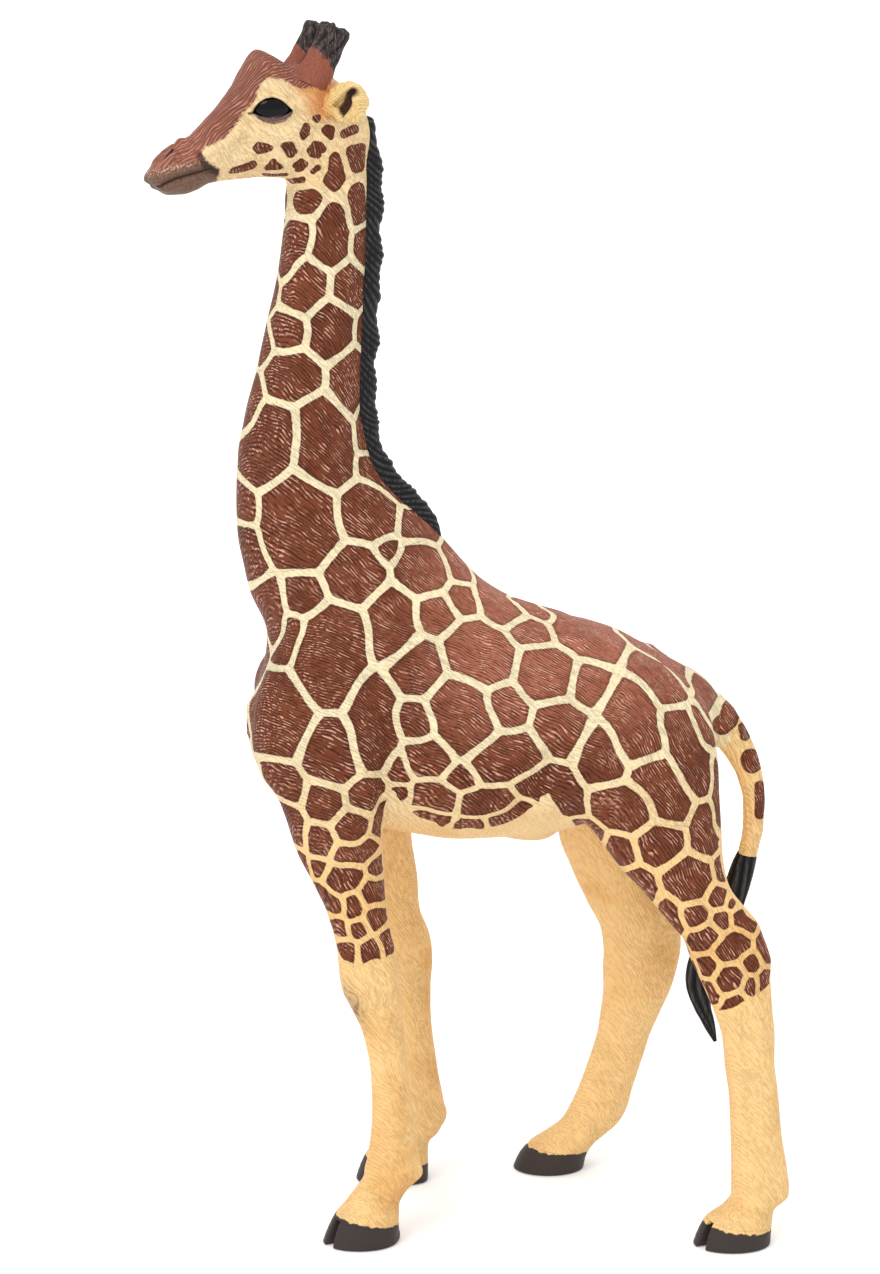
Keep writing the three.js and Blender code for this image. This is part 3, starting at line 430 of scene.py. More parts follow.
@dataclass(frozen=True)
class Curve:
    """Smooth curve through a table's columns that never overshoots its rows."""

    rows: Rows

    def at(self, place: Array, column: int) -> Array:
        """Reads one column between the rows.

        Args:
            place: Values of the first column to read at, held inside the table.
            column: Column to read.

        Returns:
            The column's value at each place.
        """
        table = np.asarray(self.rows, dtype=np.float64)
        knots, values = table[:, 0], table[:, column]
        steps = np.diff(knots)
        slopes = np.diff(values) / steps
        before, after = slopes[:-1], slopes[1:]
        heavy, light = 2 * steps[1:] + steps[:-1], steps[1:] + 2 * steps[:-1]
        same = before * after > 0
        with np.errstate(divide="ignore", invalid="ignore"):
            inner = (heavy + light) / (heavy / before + light / after)
        tangents = np.concatenate(([slopes[0]], np.where(same, inner, 0.0), [slopes[-1]]))
        place = np.clip(place, knots[0], knots[-1])
        index = np.clip(np.searchsorted(knots, place, side="right") - 1, 0, len(steps) - 1)
        width = steps[index]
        t = (place - knots[index]) / width
        square, cube = t * t, t * t * t
        result = (
            (2 * cube - 3 * square + 1) * values[index]
            + (cube - 2 * square + t) * width * tangents[index]
            + (3 * square - 2 * cube) * values[index + 1]
            + (cube - square) * width * tangents[index + 1]
        )
        return result.astype(np.float32)


def oval_distance(across: Array, along: Array, half_across: Array, half_along: Array) -> Array:
    """Measures about how far points lie outside an oval.

    Args:
        across: Offsets along the first half axis.
        along: Offsets along the second half axis.
        half_across: First half axis.
        half_along: Second half axis.

    Returns:
        Distances, below zero inside.
    """
    a = across / half_across
    b = along / half_along
    reach = np.sqrt(a * a + b * b)
    slope = np.sqrt((a / half_across) ** 2 + (b / half_along) ** 2) + np.float32(1e-6)
    return (reach - 1) * np.maximum(reach / slope, np.minimum(half_across, half_along))


class Trunk:
    """Barrel of the body, lofted from chest to rump."""

    def __init__(self, shift: float) -> None:
        """Keeps the trunk's place, with the shift of the model's middle line origin in X."""
        self.start = CHEST_X + shift
        self.curve = Curve(TRUNK_ROWS)

    def distance(self, x: Array, y: Array, z: Array) -> Array:
        """Measures distance to the trunk.

        Args:
            x: X places.
            y: Y places.
            z: Z places.

        Returns:
            Signed distances.
        """
        along = (x - self.start) / TRUNK_LENGTH
        rise = self.curve.at(along, 1) * TRUNK_DEPTH
        fall = self.curve.at(along, 2) * TRUNK_DEPTH
        half = self.curve.at(along, 3) * TRUNK_WIDTH
        middle = AXIS_HEIGHT + (rise - fall) / 2
        field = oval_distance(y, z - middle, half, (rise + fall) / 2)
        beyond = np.maximum(-along, along - 1) * TRUNK_LENGTH
        return np.maximum(field, beyond).astype(np.float32)


class Neck:
    """Neck, lofted from inside the trunk to inside the head."""

    def __init__(self, shift: float) -> None:
        """Keeps the neck's place, with the shift of the model's middle line origin in X."""
        self.root = CHEST_X + NECK_ALONG * TRUNK_LENGTH + shift
        self.curve = Curve(NECK_ROWS)

    def back(self, rise: float) -> Point:
        """Finds the skin on the back of the neck.

        Args:
            rise: Height above the trunk's axis as a share of the neck's length.

        Returns:
            The point on the mid plane.
        """
        place = np.array([rise])
        set_back = float(self.curve.at(place, 1)[0])
        depth = float(self.curve.at(place, 2)[0])
        x = self.root + set_back * NECK_LENGTH + depth * NECK_DEPTH / 2
        return (x, 0.0, AXIS_HEIGHT + rise * NECK_LENGTH)

    def distance(self, x: Array, y: Array, z: Array) -> Array:
        """Measures distance to the neck.

        Args:
            x: X places.
            y: Y places.
            z: Z places.

        Returns:
            Signed distances.
        """
        rise = (z - AXIS_HEIGHT) / NECK_LENGTH
        middle = self.root + self.curve.at(rise, 1) * NECK_LENGTH
        half_depth = self.curve.at(rise, 2) * NECK_DEPTH / 2
        half_width = self.curve.at(rise, 3) * NECK_WIDTH
        field = oval_distance(x - middle, y, half_depth, half_width)
        low, high = NECK_ROWS[0][0], NECK_ROWS[-1][0]
        beyond = np.maximum(low - rise, rise - high) * NECK_LENGTH
        return np.maximum(field, beyond).astype(np.float32)


@dataclass(frozen=True)
class LegPlan:
    """Which leg it is and how it stands."""

    name: str
    hoof: str
    side: int
    rows: Rows
    stance: float
    spacing: float
    root_along: float


FORE_PLACE = (FORE_STANCE, SHOULDER_SPACING, SHOULDER_ALONG)
HIND_PLACE = (HIND_STANCE, HIP_SPACING, HIP_ALONG)
LEGS = (
    LegPlan("left_foreleg", "left_fore_hoof", -1, LEFT_FORE_ROWS, *FORE_PLACE),
    LegPlan("right_foreleg", "right_fore_hoof", 1, RIGHT_FORE_ROWS, *FORE_PLACE),
    LegPlan("left_hind_leg", "left_hind_hoof", -1, LEFT_HIND_ROWS, *HIND_PLACE),
    LegPlan("right_hind_leg", "right_hind_hoof", 1, RIGHT_HIND_ROWS, *HIND_PLACE),
)


class Leg:
    """One leg with its hoof, lofted from the floor up into the trunk."""

    def __init__(self, plan: LegPlan, shift: float) -> None:
        """Keeps the leg's plan and place.

        Args:
            plan: Which leg it is.
            shift: X of the model's middle line origin in the frame.
        """
        self.plan = plan
        self.root = CHEST_X + plan.root_along * TRUNK_LENGTH + shift
        self.curve = Curve(plan.rows)

    def centre(self, height: Array) -> tuple[Array, Array]:
        """Finds the leg's centre line.

        Args:
            height: Heights above the floor.

        Returns:
            X and Y of the centre line.
        """
        share = height / AXIS_HEIGHT
        x = self.root + self.curve.at(share, 1) * AXIS_HEIGHT
        inward = self.curve.at(share, 4)
        y = self.plan.side * (self.plan.stance + (self.plan.spacing - self.plan.stance) * inward) / 2
        return x, y

    def distance(self, x: Array, y: Array, z: Array) -> Array:
        """Measures distance to the leg.

        Args:
            x: X places.
            y: Y places.
            z: Z places.

        Returns:
            Signed distances.
        """
        share = z / AXIS_HEIGHT
        middle_x, middle_y = self.centre(z)
        half_x = self.curve.at(share, 2) * LEG_DEPTH / 2
        half_y = self.curve.at(share, 3) * LEG_WIDTH / 2
        field = oval_distance(x - middle_x, y - middle_y, half_x, half_y)
        beyond = (share - self.plan.rows[-1][0]) * AXIS_HEIGHT
        return np.maximum(field, beyond).astype(np.float32)

    def toe(self) -> tuple[float, float]:
        """Finds the middle of the toe on the floor.

        Returns:
            X and Y.
        """
        x, y = self.centre(np.array([0.0]))
        half = self.plan.rows[0][2] * LEG_DEPTH / 2
        return float(x[0]) - half, float(y[0])


class Head:
    """Head, lofted along its own axis and turned to the figure's left."""

    def __init__(self, shift: float) -> None:
        """Keeps the head's place.

        Args:
            shift: X of the model's middle line origin in the frame.
        """
        neck_x = CHEST_X + NECK_ALONG * TRUNK_LENGTH + shift
        self.pivot = (neck_x + HEAD_SET_BACK * NECK_LENGTH, 0.0, AXIS_HEIGHT + NECK_LENGTH)
        self.curve = Curve(HEAD_ROWS)
        self.cos = math.cos(HEAD_TURN)
        self.sin = math.sin(HEAD_TURN)

    def local(self, x: Array, y: Array, z: Array) -> tuple[Array, Array, Array]:
        """Turns places in the frame into places ahead of, across and above the head's pivot.

        Args:
            x: X places.
            y: Y places.
            z: Z places.

        Returns:
            Millimetres ahead, to the right and up.
        """
        dx = x - np.float32(self.pivot[0])
        ahead = -(dx * self.cos + y * self.sin)
        across = -dx * self.sin + y * self.cos
        return ahead, across, z - np.float32(self.pivot[2])

    def world(self, ahead: float, across: float, up: float) -> Point:
        """Turns a place by the head's pivot into a place in the frame.

        Args:
            ahead: Millimetres ahead.
            across: Millimetres to the right.
            up: Millimetres up.

        Returns:
            The point.
        """
        x = self.pivot[0] - ahead * self.cos - across * self.sin
        y = -ahead * self.sin + across * self.cos
        return (x, y, self.pivot[2] + up)

    def direction(self, back: float, across: float, up: float) -> Vector:
        """Turns a direction by the head into one in the frame.

        Args:
            back: Share towards the nape.
            across: Share to the right.
            up: Share upwards.

        Returns:
            The unit direction.
        """
        x = back * self.cos - across * self.sin
        y = back * self.sin + across * self.cos
        return Vector((x, y, up)).normalized()

    def horn_place(self, side: int) -> tuple[Array, Array]:
        """Finds where a horn stands and the way it points.

        Args:
            side: -1 on the left and 1 on the right.

        Returns:
            Its base and its unit axis.
        """
        ahead, rise, across = HORN_PLACE
        base = self.world(ahead * HEAD_LENGTH, side * across * HEAD_WIDTH, rise * HEAD_DEPTH)
        axis = self.direction(math.tan(HORN_LEAN_BACK), side * math.tan(HORN_LEAN_OUT), 1.0)
        return np.array(base), np.array(axis)

    def eye_place(self, side: int) -> tuple[Array, Array, Array, Array]:
        """Finds an eye's centre and axes.

        Args:
            side: -1 on the left and 1 on the right.

        Returns:
            Centre, then unit axes forwards, outwards and upwards.
        """
        ahead, rise, across = EYE_PLACE
        centre = self.world(
            ahead * HEAD_LENGTH + EYE_FORWARD, side * (across * HEAD_WIDTH - EYE_SINK), rise * HEAD_DEPTH
        )
        fore = self.direction(-1.0, 0.0, -0.06)
        out = self.direction(-0.1, side * 1.0, 0.06)
        tall = out.cross(fore) * side
        fore = tall.cross(out) * side
        return np.array(centre), np.array(fore), np.array(out), np.array(tall)

    def distance(self, x: Array, y: Array, z: Array) -> Array:
        """Measures distance to the head.

        Args:
            x: X places.
            y: Y places.
            z: Z places.

        Returns:
            Signed distances.
        """
        ahead, across, up = self.local(x, y, z)
        share = ahead / HEAD_LENGTH
        crown = self.curve.at(share, 1) * HEAD_DEPTH
        jaw = self.curve.at(share, 2) * HEAD_DEPTH
        half = self.curve.at(share, 3) * HEAD_WIDTH
        middle, tall = (crown + jaw) / 2, (crown - jaw) / 2
        lean = np.clip((up - middle) / tall, -1, 1)
        skull = smooth_step(0.62, 0.4, share)
        wide = half * (1 + (0.1 * lean - 0.12 * np.maximum(lean, 0) ** 2) * skull)
        field = oval_distance(across, up - middle, wide, tall)
        low, high = HEAD_ROWS[0][0], HEAD_ROWS[-1][0]
        beyond = np.maximum(low - share, share - high) * HEAD_LENGTH
        return np.maximum(field, beyond).astype(np.float32)


def segment_distance(place: Sequence[Array], points: Sequence[Sequence[float]]) -> Array:
    """Measures distance to a broken line, or to a point when it has one.

    Args:
        place: Coordinates, one array for each axis.
        points: Corners of the line, with as many numbers as there are axes.

    Returns:
        Distances.
    """
    ends = list(zip(points[:-1], points[1:])) or [(points[0], points[0])]
    best = None
    for start, end in ends:
        run = [b - a for a, b in zip(start, end)]
        square = sum(r * r for r in run)
        offset = [axis - np.float32(a) for axis, a in zip(place, start)]
        if square > 0:
            t = np.clip(sum(o * np.float32(r / square) for o, r in zip(offset, run)), 0, 1)
            offset = [o - t * np.float32(r) for o, r in zip(offset, run)]
        found = sum(o * o for o in offset)
        best = found if best is None else np.minimum(best, found)
    return np.sqrt(best)


class View:
    """The photograph's camera, used to find where its pixels lie on the figure."""

    width = 880
    height = 1274
    azimuth = math.radians(-3.0)
    elevation = math.radians(12.7)
    distance = 720.0
    focal_pixels = 3915.0
    sensor = 36.0
    target: Point = (-5.4, 2.0, 110.5)

    def __init__(self) -> None:
        """Works out the camera's axes."""
        flat = math.cos(self.elevation)
        self.back = np.array(
            [math.sin(self.azimuth) * flat, -math.cos(self.azimuth) * flat, math.sin(self.elevation)]
        )
        self.right = np.array([math.cos(self.azimuth), math.sin(self.azimuth), 0.0])
        self.up = np.cross(self.back, self.right)
        self.eye = np.array(self.target) + self.back * self.distance

    def project(self, places: Array) -> Array:
        """Finds the pixels of points.

        Args:
            places: Points, one a row.

        Returns:
            Pixels, one a row.
        """
        offset = places - self.eye
        depth = -(offset @ self.back)
        u = self.width / 2 + self.focal_pixels * (offset @ self.right) / depth
        v = self.height / 2 - self.focal_pixels * (offset @ self.up) / depth
        return np.stack([u, v], axis=1)

    def project_near(self, x: Array, y: Array, z: Array) -> Array:
        """Finds the pixels of places, with those on the far side moved over to the near side."""
        return self.project(np.stack([x, -np.abs(y), z], axis=1))

    def rays(self, pixels: Sequence[Pixel]) -> Array:
        """Finds the ways that pixels look.

        Args:
            pixels: The pixels.

        Returns:
            Unit directions from the eye, one a row.
        """
        table = np.asarray(pixels, dtype=np.float64)
        across = (table[:, :1] - self.width / 2) / self.focal_pixels
        rise = (self.height / 2 - table[:, 1:]) / self.focal_pixels
        ways = self.right * across + self.up * rise - self.back
        return ways / np.linalg.norm(ways, axis=1, keepdims=True)


BODY_STROKES: tuple[tuple[float, float, tuple[Pixel, ...]], ...] = (
    # Crease behind the shoulder and elbow.
    (2.2, -1.3, ((392, 735), (389, 757), (387, 780), (385, 806))),
    (3.4, -0.8, ((398, 680), (399, 715), (395, 745))),
    (4.0, 1.0, ((366, 700), (370, 735), (366, 768))),
    (2.2, 0.7, ((366, 795), (378, 812))),
    # Brisket and shoulder.
    (3.2, -0.9, ((262, 652), (282, 664), (300, 690), (306, 716))),
    (5.4, 0.75, ((264, 690), (262, 712), (270, 742))),
    (4.0, 0.7, ((318, 640), (336, 680), (350, 720))),
    (2.4, -0.5, ((296, 770), (306, 800), (318, 830))),
    (2.6, 0.5, ((330, 780), (340, 830), (350, 880))),
    # Flank fold and thigh.
    (2.4, -1.3, ((520, 806), (540, 790), (556, 772), (563, 752))),
    (2.6, 0.9, ((552, 802), (566, 792), (578, 770))),
    (3.4, 0.8, ((572, 818), (592, 842), (612, 868))),
    (3.2, -0.6, ((566, 748), (576, 722), (588, 694))),
    (5.0, 0.8, ((640, 720), (655, 770), (660, 820))),
    (3.4, 0.6, ((588, 640), (612, 650), (632, 668))),
    (3.2, -0.5, ((612, 690), (620, 730))),
    # Hock and cannon of the near hind leg.
    (1.8, -0.5, ((706, 905), (728, 930), (744, 958))),
    (2.2, 0.5, ((757, 930), (766, 958))),
    (1.6, -0.5, ((746, 1000), (750, 1060), (753, 1120), (756, 1160))),
    (1.6, 0.35, ((736, 1010), (738, 1080), (742, 1150))),
    (1.5, 0.6, ((782, 1176), (785, 1184))),
    (1.6, -0.35, ((722, 1190), (738, 1196), (760, 1194))),
    (1.8, 0.35, ((706, 1212), (730, 1216), (758, 1218))),
    # Knee and cannon of the near foreleg.
    (1.6, -0.45, ((370, 1020), (376, 1080), (384, 1140))),
    (2.2, 0.6, ((346, 972), (347, 992))),
    (1.5, -0.45, ((340, 1012), (362, 1016), (388, 1008))),
    (1.5, -0.35, ((352, 962), (376, 962), (392, 956))),
    (1.6, 0.4, ((388, 975), (394, 995))),
    (1.4, 0.5, ((420, 1172), (424, 1180))),
    (1.6, -0.35, ((362, 1178), (384, 1190), (402, 1194))),
    (1.8, 0.35, ((345, 1198), (368, 1206), (392, 1210))),
    # Neck.
    (2.6, -0.5, ((330, 200), (322, 300), (318, 400))),
    (3.2, -0.6, ((352, 470), (330, 560), (322, 610))),
    (3.0, 0.4, ((300, 250), (290, 350), (280, 440))),
    (2.6, 0.5, ((306, 186), (300, 196))),
    # Spine from the withers to the rump.
    (2.0, 0.4, ((470, 585), (520, 606), (560, 618))),
)
FACE_STROKES: tuple[tuple[float, float, tuple[Pixel, ...]], ...] = (
    # Eyelids, the fold over the eye, and the hollows at its corners.
    (
        0.6, 0.6,
        ((251, 111.5), (255.5, 105), (261, 98.5), (268, 96), (276, 96.5), (284.5, 101.5), (293, 109.5)),
    ),
    (0.55, 0.5, ((255, 115.5), (263, 120), (273.5, 122), (284, 119.5), (291, 113.5))),
    (0.6, -0.45, ((256, 99), (262, 93.5), (271, 91), (281, 92.5), (289, 98), (296, 106))),
    (1.2, 0.5, ((254, 93), (262, 87), (274, 85), (287, 89.5), (298, 101))),
    (1.0, -0.4, ((247, 115), (241, 121), (236, 128))),
    (0.9, -0.35, ((296, 111), (304, 114))),
    (1.1, -0.3, ((256, 126), (270, 130), (286, 127))),
    # Cheek bone, cheek and jaw.
    (1.6, 0.5, ((246, 130), (262, 137), (282, 137), (300, 128))),
    (1.7, -0.5, ((248, 142), (234, 152), (224, 160))),
    (1.4, 0.45, ((238, 132), (224, 142), (210, 149))),
    (3.0, 0.6, ((292, 150), (282, 164))),
    (1.2, -0.45, ((262, 176), (240, 177), (222, 178))),
    (1.0, -0.35, ((308, 120), (316, 136), (318, 158))),
    # Snout: the long grooves of the nose.
    (0.6, -0.35, ((206, 126), (220, 112), (232, 98), (246, 84))),
    (0.6, -0.3, ((200, 138), (214, 130), (228, 118), (240, 104))),
    (0.8, 0.3, ((196, 132), (212, 121), (228, 106), (242, 92))),
    # Nostril with its raised wings.
    (0.75, -1.6, ((161, 158.5), (165.5, 154.5), (171.5, 149.5))),
    (0.5, -0.5, ((171, 150), (177, 146.5))),
    (0.75, 0.5, ((160, 153), (163, 148), (169, 143.5), (179, 141))),
    (0.75, 0.6, ((164, 163), (170, 158.5), (175, 153), (182, 148))),
    (0.8, -0.3, ((186, 142), (184, 150), (178, 158))),
    # Lips.
    (0.5, -0.9, ((150, 187), (160, 186.5), (167, 182.5), (177, 178), (189, 174.5), (200, 171.5), (213, 168))),
    (1.0, 0.4, ((150, 181), (160, 180), (170, 175.5), (184, 170.5), (198, 166))),
    (0.9, 0.4, ((164, 189.5), (176, 185), (190, 180.5), (204, 176))),
    (0.9, -0.4, ((209, 160), (214, 169), (220, 174))),
    (1.4, -1.7, ((148, 190), (152, 192), (156, 194))),
    (0.8, 0.3, ((216, 163), (224, 168))),
)


@dataclass(frozen=True)
class Stroke:
    """Soft ridge or groove along a line on the skin. Height is above zero for a ridge."""

    points: tuple[Point, ...]
    radius: float
    height: float
    fade: float = 2.6

    def press(self, field: Array, axes: tuple[Array, Array, Array]) -> None:
        """Works the stroke into a block's field, only where it reaches.

        Args:
            field: Field to change.
            axes: X, Y and Z of the block, shaped to combine.
        """
        reach = self.fade * self.radius
        kept = []
        for index, line in enumerate(axes):
            values = line.ravel()
            low = min(p[index] for p in self.points) - reach
            high = max(p[index] for p in self.points) + reach
            kept.append(np.nonzero((values > low) & (values < high))[0])
        if any(len(part) == 0 for part in kept):
            return
        block = np.ix_(*kept)
        near = (axes[0][kept[0]], axes[1][:, kept[1]], axes[2][:, :, kept[2]])
        away = segment_distance(near, self.points)
        field[block] -= (self.height * np.exp(-((away / self.radius) ** 2))).astype(np.float32)


class TailPath:
    """Middle line and thickness of the tail's dock and of its tuft, in the mid plane."""

    def __init__(self, shift: float) -> None:
        """Works out both lines.

        Args:
            shift: X of the model's middle line origin in the frame.
        """
        root_x = CHEST_X + TAIL_ROOT[0] * TRUNK_LENGTH + shift
        root_z = AXIS_HEIGHT + TAIL_ROOT[1] * TRUNK_DEPTH
        self.dock = np.array(
            [(root_x + reach * TAIL_REACH, root_z - drop * TAIL_DROP, thick * TAIL_THICKNESS)
             for drop, reach, thick in TAIL_ROWS]
        )
        end_x, end_z, _ = self.dock[-1]
        self.tuft = np.array(
            [(end_x + reach * TUFT_LENGTH, end_z - drop * TUFT_LENGTH, thick * TUFT_THICKNESS)
             for drop, reach, thick in TUFT_ROWS]
        )

    def stub(self, x: Array, y: Array, z: Array) -> Array:
        """Measures distance to the short thick start of the dock that the rump runs out into.

        Args:
            x: X places.
            y: Y places.
            z: Z places.

        Returns:
            Signed distances.
        """
        best = None
        for index, ((x0, z0, thick0), (x1, z1, thick1)) in enumerate(zip(self.dock[:3], self.dock[1:4])):
            for share in (0.0, 0.5, 1.0):
                middle = ((1 - share) * x0 + share * x1, 0.0, (1 - share) * z0 + share * z1)
                half = ((1 - share) * thick0 + share * thick1) / 2 - 0.1 - 0.12 * (index + share) ** 2
                ball = segment_distance((x, y, z), (middle,)) - half
                best = ball if best is None else soft_min(best, ball, 0.8)
        return best


class Skin:
    """The whole moulded skin as one distance field, so that all its pieces meet without a step."""

    trunk_fillet = 5.0
    leg_fillet = 3.0
    head_fillet = 2.4
    horn_fillet = 3.0
    tail_fillet = 3.4
    sheath_fillet = 1.6
    eye_fillet = 0.2
    search_start = 90.0
    search_steps = 70
    search_pace = 0.8
    search_miss = 0.4
    settle_step = 0.2
    settle_rounds = 4
    leg_top = 95.0
    leg_share: Limits = (86.0, 66.0)

    def __init__(self, shift: float, view: View) -> None:
        """Makes the forms.

        Args:
            shift: X of the model's middle line origin in the frame.
            view: The photograph's camera.
        """
        self.view = view
        self.trunk = Trunk(shift)
        self.neck = Neck(shift)
        self.head = Head(shift)
        self.legs = tuple(Leg(plan, shift) for plan in LEGS)
        self.tail = TailPath(shift)
        along, drop = SHEATH_PLACE
        self.sheath = (CHEST_X + along * TRUNK_LENGTH + shift, AXIS_HEIGHT - drop * TRUNK_DEPTH)
        self.sockets = tuple(self.head.eye_place(side) for side in (-1, 1))
        self.strokes = self._lay(BODY_STROKES) + self._lay(FACE_STROKES)

    def _lay(self, drawn: Iterable[tuple[float, float, tuple[Pixel, ...]]]) -> tuple[Stroke, ...]:
        """Lays drawn strokes on the skin, on the side that the photograph shows and on the other.

        Args:
            drawn: Radius, height and pixels of each stroke.

        Returns:
            The strokes.
        """
        strokes = []
        for radius, height, pixels in drawn:
            near = self.land(pixels)
            if len(near) == 0:
                LOG.warning("stroke at %s misses the skin", pixels[0])
                continue
            far = self.settle(np.array([self.mirror(place) for place in near]))
            for places in (near, far):
                strokes.append(Stroke(tuple(map(tuple, places.tolist())), radius, height))
        return tuple(strokes)

    def land(self, pixels: Sequence[Pixel]) -> Array:
        """Finds where pixels of the photograph lie on the plain forms.

        Args:
            pixels: The pixels.

        Returns:
            Points, one a row, without the pixels that miss.
        """
        ways = self.view.rays(pixels)
        travel = np.full(len(ways), self.view.distance - self.search_start)
        for _ in range(self.search_steps):
            places = self.view.eye + ways * travel[:, None]
            travel = travel + self.search_pace * self.plain(*places.T)
        places = self.view.eye + ways * travel[:, None]
        return places[np.abs(self.plain(*places.T)) < self.search_miss]

    def settle(self, places: Array) -> Array:
        """Moves points onto the plain forms.

        Args:
            places: Points, one a row.

        Returns:
            The moved points.
        """
        step = self.settle_step
        for _ in range(self.settle_rounds):
            gap = self.plain(*places.T)
            ahead = [self.plain(*(places + step * axis).T) for axis in np.eye(3)]
            behind = [self.plain(*(places - step * axis).T) for axis in np.eye(3)]
            slope = np.stack([after - before for after, before in zip(ahead, behind)], axis=1) / (2 * step)
            size = np.maximum((slope**2).sum(axis=1), step)
            places = places - slope * (gap / size)[:, None]
        return places

    def mirror(self, place: Sequence[float]) -> Point:
        """Finds the like place on the figure's right side: across the turned head, or on the leg's partner.

        Args:
            place: Point on the left side.

        Returns:
            Point on the right side, not settled on the skin.
        """
        x, y, z = place
        if z > CHIN_HEIGHT:
            ahead, across, up = self.head.local(x, y, z)
            return self.head.world(float(ahead), -float(across), float(up))
        left, right = (self.legs[0], self.legs[1]) if x < 0 else (self.legs[2], self.legs[3])
        height = np.array([min(z, self.leg_top)])
        (left_x,), (left_y,) = left.centre(height)
        (right_x,), (right_y,) = right.centre(height)
        share = float(smooth_step(*self.leg_share, np.array([z]))[0])
        moved_x = x + share * float(right_x - left_x)
        moved_y = -y + share * (float(right_y) + float(left_y))
        return (moved_x, moved_y, z)

    def plain(self, x: Array, y: Array, z: Array) -> Array:
        """Measures signed distance to the forms without strokes."""
        field = soft_min(self._low(x, y, z), self.head.distance(x, y, z), self.head_fillet)
        return soft_min(field, self._horn_roots(x, y, z), self.horn_fillet)

    def _low(self, x: Array, y: Array, z: Array) -> Array:
        """Joins neck, trunk, legs, sheath and the tail's root.

        Args:
            x: X places.
            y: Y places.
            z: Z places.

        Returns:
            Signed distances.
        """
        field = soft_min(self.neck.distance(x, y, z), self.trunk.distance(x, y, z), self.trunk_fillet)
        for leg in self.legs:
            field = soft_min(field, leg.distance(x, y, z), self.leg_fillet)
        offset = ((x - self.sheath[0]) / (SHEATH_LENGTH / 2), y / (SHEATH_WIDTH / 2))
        rise = (z - self.sheath[1]) / (SHEATH_DEPTH / 2)
        fold = (np.sqrt(offset[0] ** 2 + offset[1] ** 2 + rise**2) - 1) * SHEATH_DEPTH / 2
        field = soft_min(field, fold, self.sheath_fillet)
        return soft_min(field, self.tail.stub(x, y, z), self.tail_fillet)

    def _horn_roots(self, x: Array, y: Array, z: Array) -> Array:
        """Measures distance to the swellings that the horns stand on.

        Args:
            x: X places.
            y: Y places.
            z: Z places.

        Returns:
            Signed distances.
        """
        best = None
        for side in (-1, 1):
            base, axis = self.head.horn_place(side)
            ends = (tuple(base - axis * 2.0), tuple(base + axis * 2.2))
            root = segment_distance((x, y, z), ends) - 2.75
            best = root if best is None else soft_min(best, root, 2.0)
        return best

    def distance(self, grid: "Grid", x: Array, y: Array, z: Array) -> Array:
        """Measures distance to the skin with its folds.

        Args:
            grid: The block, whose region leaves out forms that are far away.
            x: X places.
            y: Y places.
            z: Z places.

        Returns:
            Signed distances.
        """
        if grid.region is Region.LOW:
            field = self._low(x, y, z)
        else:
            field = soft_min(self.neck.distance(x, y, z), self.head.distance(x, y, z), self.head_fillet)
            if grid.region is Region.HEAD:
                field = soft_min(field, self._horn_roots(x, y, z), self.horn_fillet)
            else:
                field = soft_min(field, self.trunk.distance(x, y, z), self.trunk_fillet)
        field = np.ascontiguousarray(field + 0 * (x + y + z), dtype=np.float32)
        for stroke in self.strokes:
            stroke.press(field, (x, y, z))
        if grid.region is Region.HEAD:
            field = self._open_eyes(field, x, y, z)
        return np.maximum(field, -z).astype(np.float32)

    def _open_eyes(self, field: Array, x: Array, y: Array, z: Array) -> Array:
        """Sinks almond shaped sockets for the eyes.

        Args:
            field: Field so far.
            x: X places.
            y: Y places.
            z: Z places.

        Returns:
            The field with the sockets.
        """
        for centre, fore, out, tall in self.sockets:
            offset = (x - centre[0], y - centre[1], z - centre[2])
            along, outward, rise = parts_along(offset, (fore, out, tall))
            reach = np.abs(along - 0.12) / 3.45
            arch = np.maximum(1 - reach**2, 0.0)
            corners = -0.61 + 0.04 * along
            slot = np.maximum(rise - corners - 2.45 * arch, corners - 1.0 * arch - rise)
            slot = np.maximum(slot + 2.0 * np.maximum(reach - 1, 0), np.abs(outward) - 3.1)
            field = -soft_min(-field, slot, self.eye_fillet)
        return field


class Region(Enum):
    """Which forms a block of the skin needs."""

    LOW = "low"
    NECK = "neck"
    HEAD = "head"


@dataclass(frozen=True)
class Grid:
    """Block of space that one piece is cast in."""

    low: Point
    high: Point
    pitch: float
    region: Region | None = None

    def axes(self) -> tuple[Array, Array, Array, tuple[int, int, int]]:
        """Lists the lattice's coordinates. Every grid of one pitch shares one lattice.

        Returns:
            X, Y and Z shaped to combine, and the first index on each axis.
        """
        first = tuple(math.floor(v / self.pitch) for v in self.low)
        last = tuple(math.ceil(v / self.pitch) for v in self.high)
        lines = [
            (np.arange(a, b + 1) * self.pitch).astype(np.float32)
            for a, b in zip(first, last)
        ]
        x = lines[0][:, None, None]
        y = lines[1][None, :, None]
        z = lines[2][None, None, :]
        return x, y, z, first


def cast(grid: Grid, distance: Callable[[Array, Array, Array], Array]) -> tuple[Array, Array]:
    """Turns a distance field into a closed quad mesh.

    Args:
        grid: Block of space.
        distance: The field.

    Returns:
        Points in millimetres and quads.
    """
    x, y, z, first = grid.axes()
    values = distance(x, y, z) + 0 * (x + y + z)
    pad = np.float32(grid.pitch)
    for axis in range(3):
        edge = [slice(None)] * 3
        for place in (0, -1):
            edge[axis] = place
            values[tuple(edge)] = np.maximum(values[tuple(edge)], pad)
    volume = openvdb.FloatGrid(background=3.0)
    volume.gridClass = openvdb.GridClass.LEVEL_SET
    volume.copyFromArray(np.ascontiguousarray(values, dtype=np.float32))
    points, quads = volume.convertToQuads(isovalue=0.0)
    points = (np.asarray(points, dtype=np.float64) + np.array(first)) * grid.pitch
    return points, np.asarray(quads, dtype=np.int64)


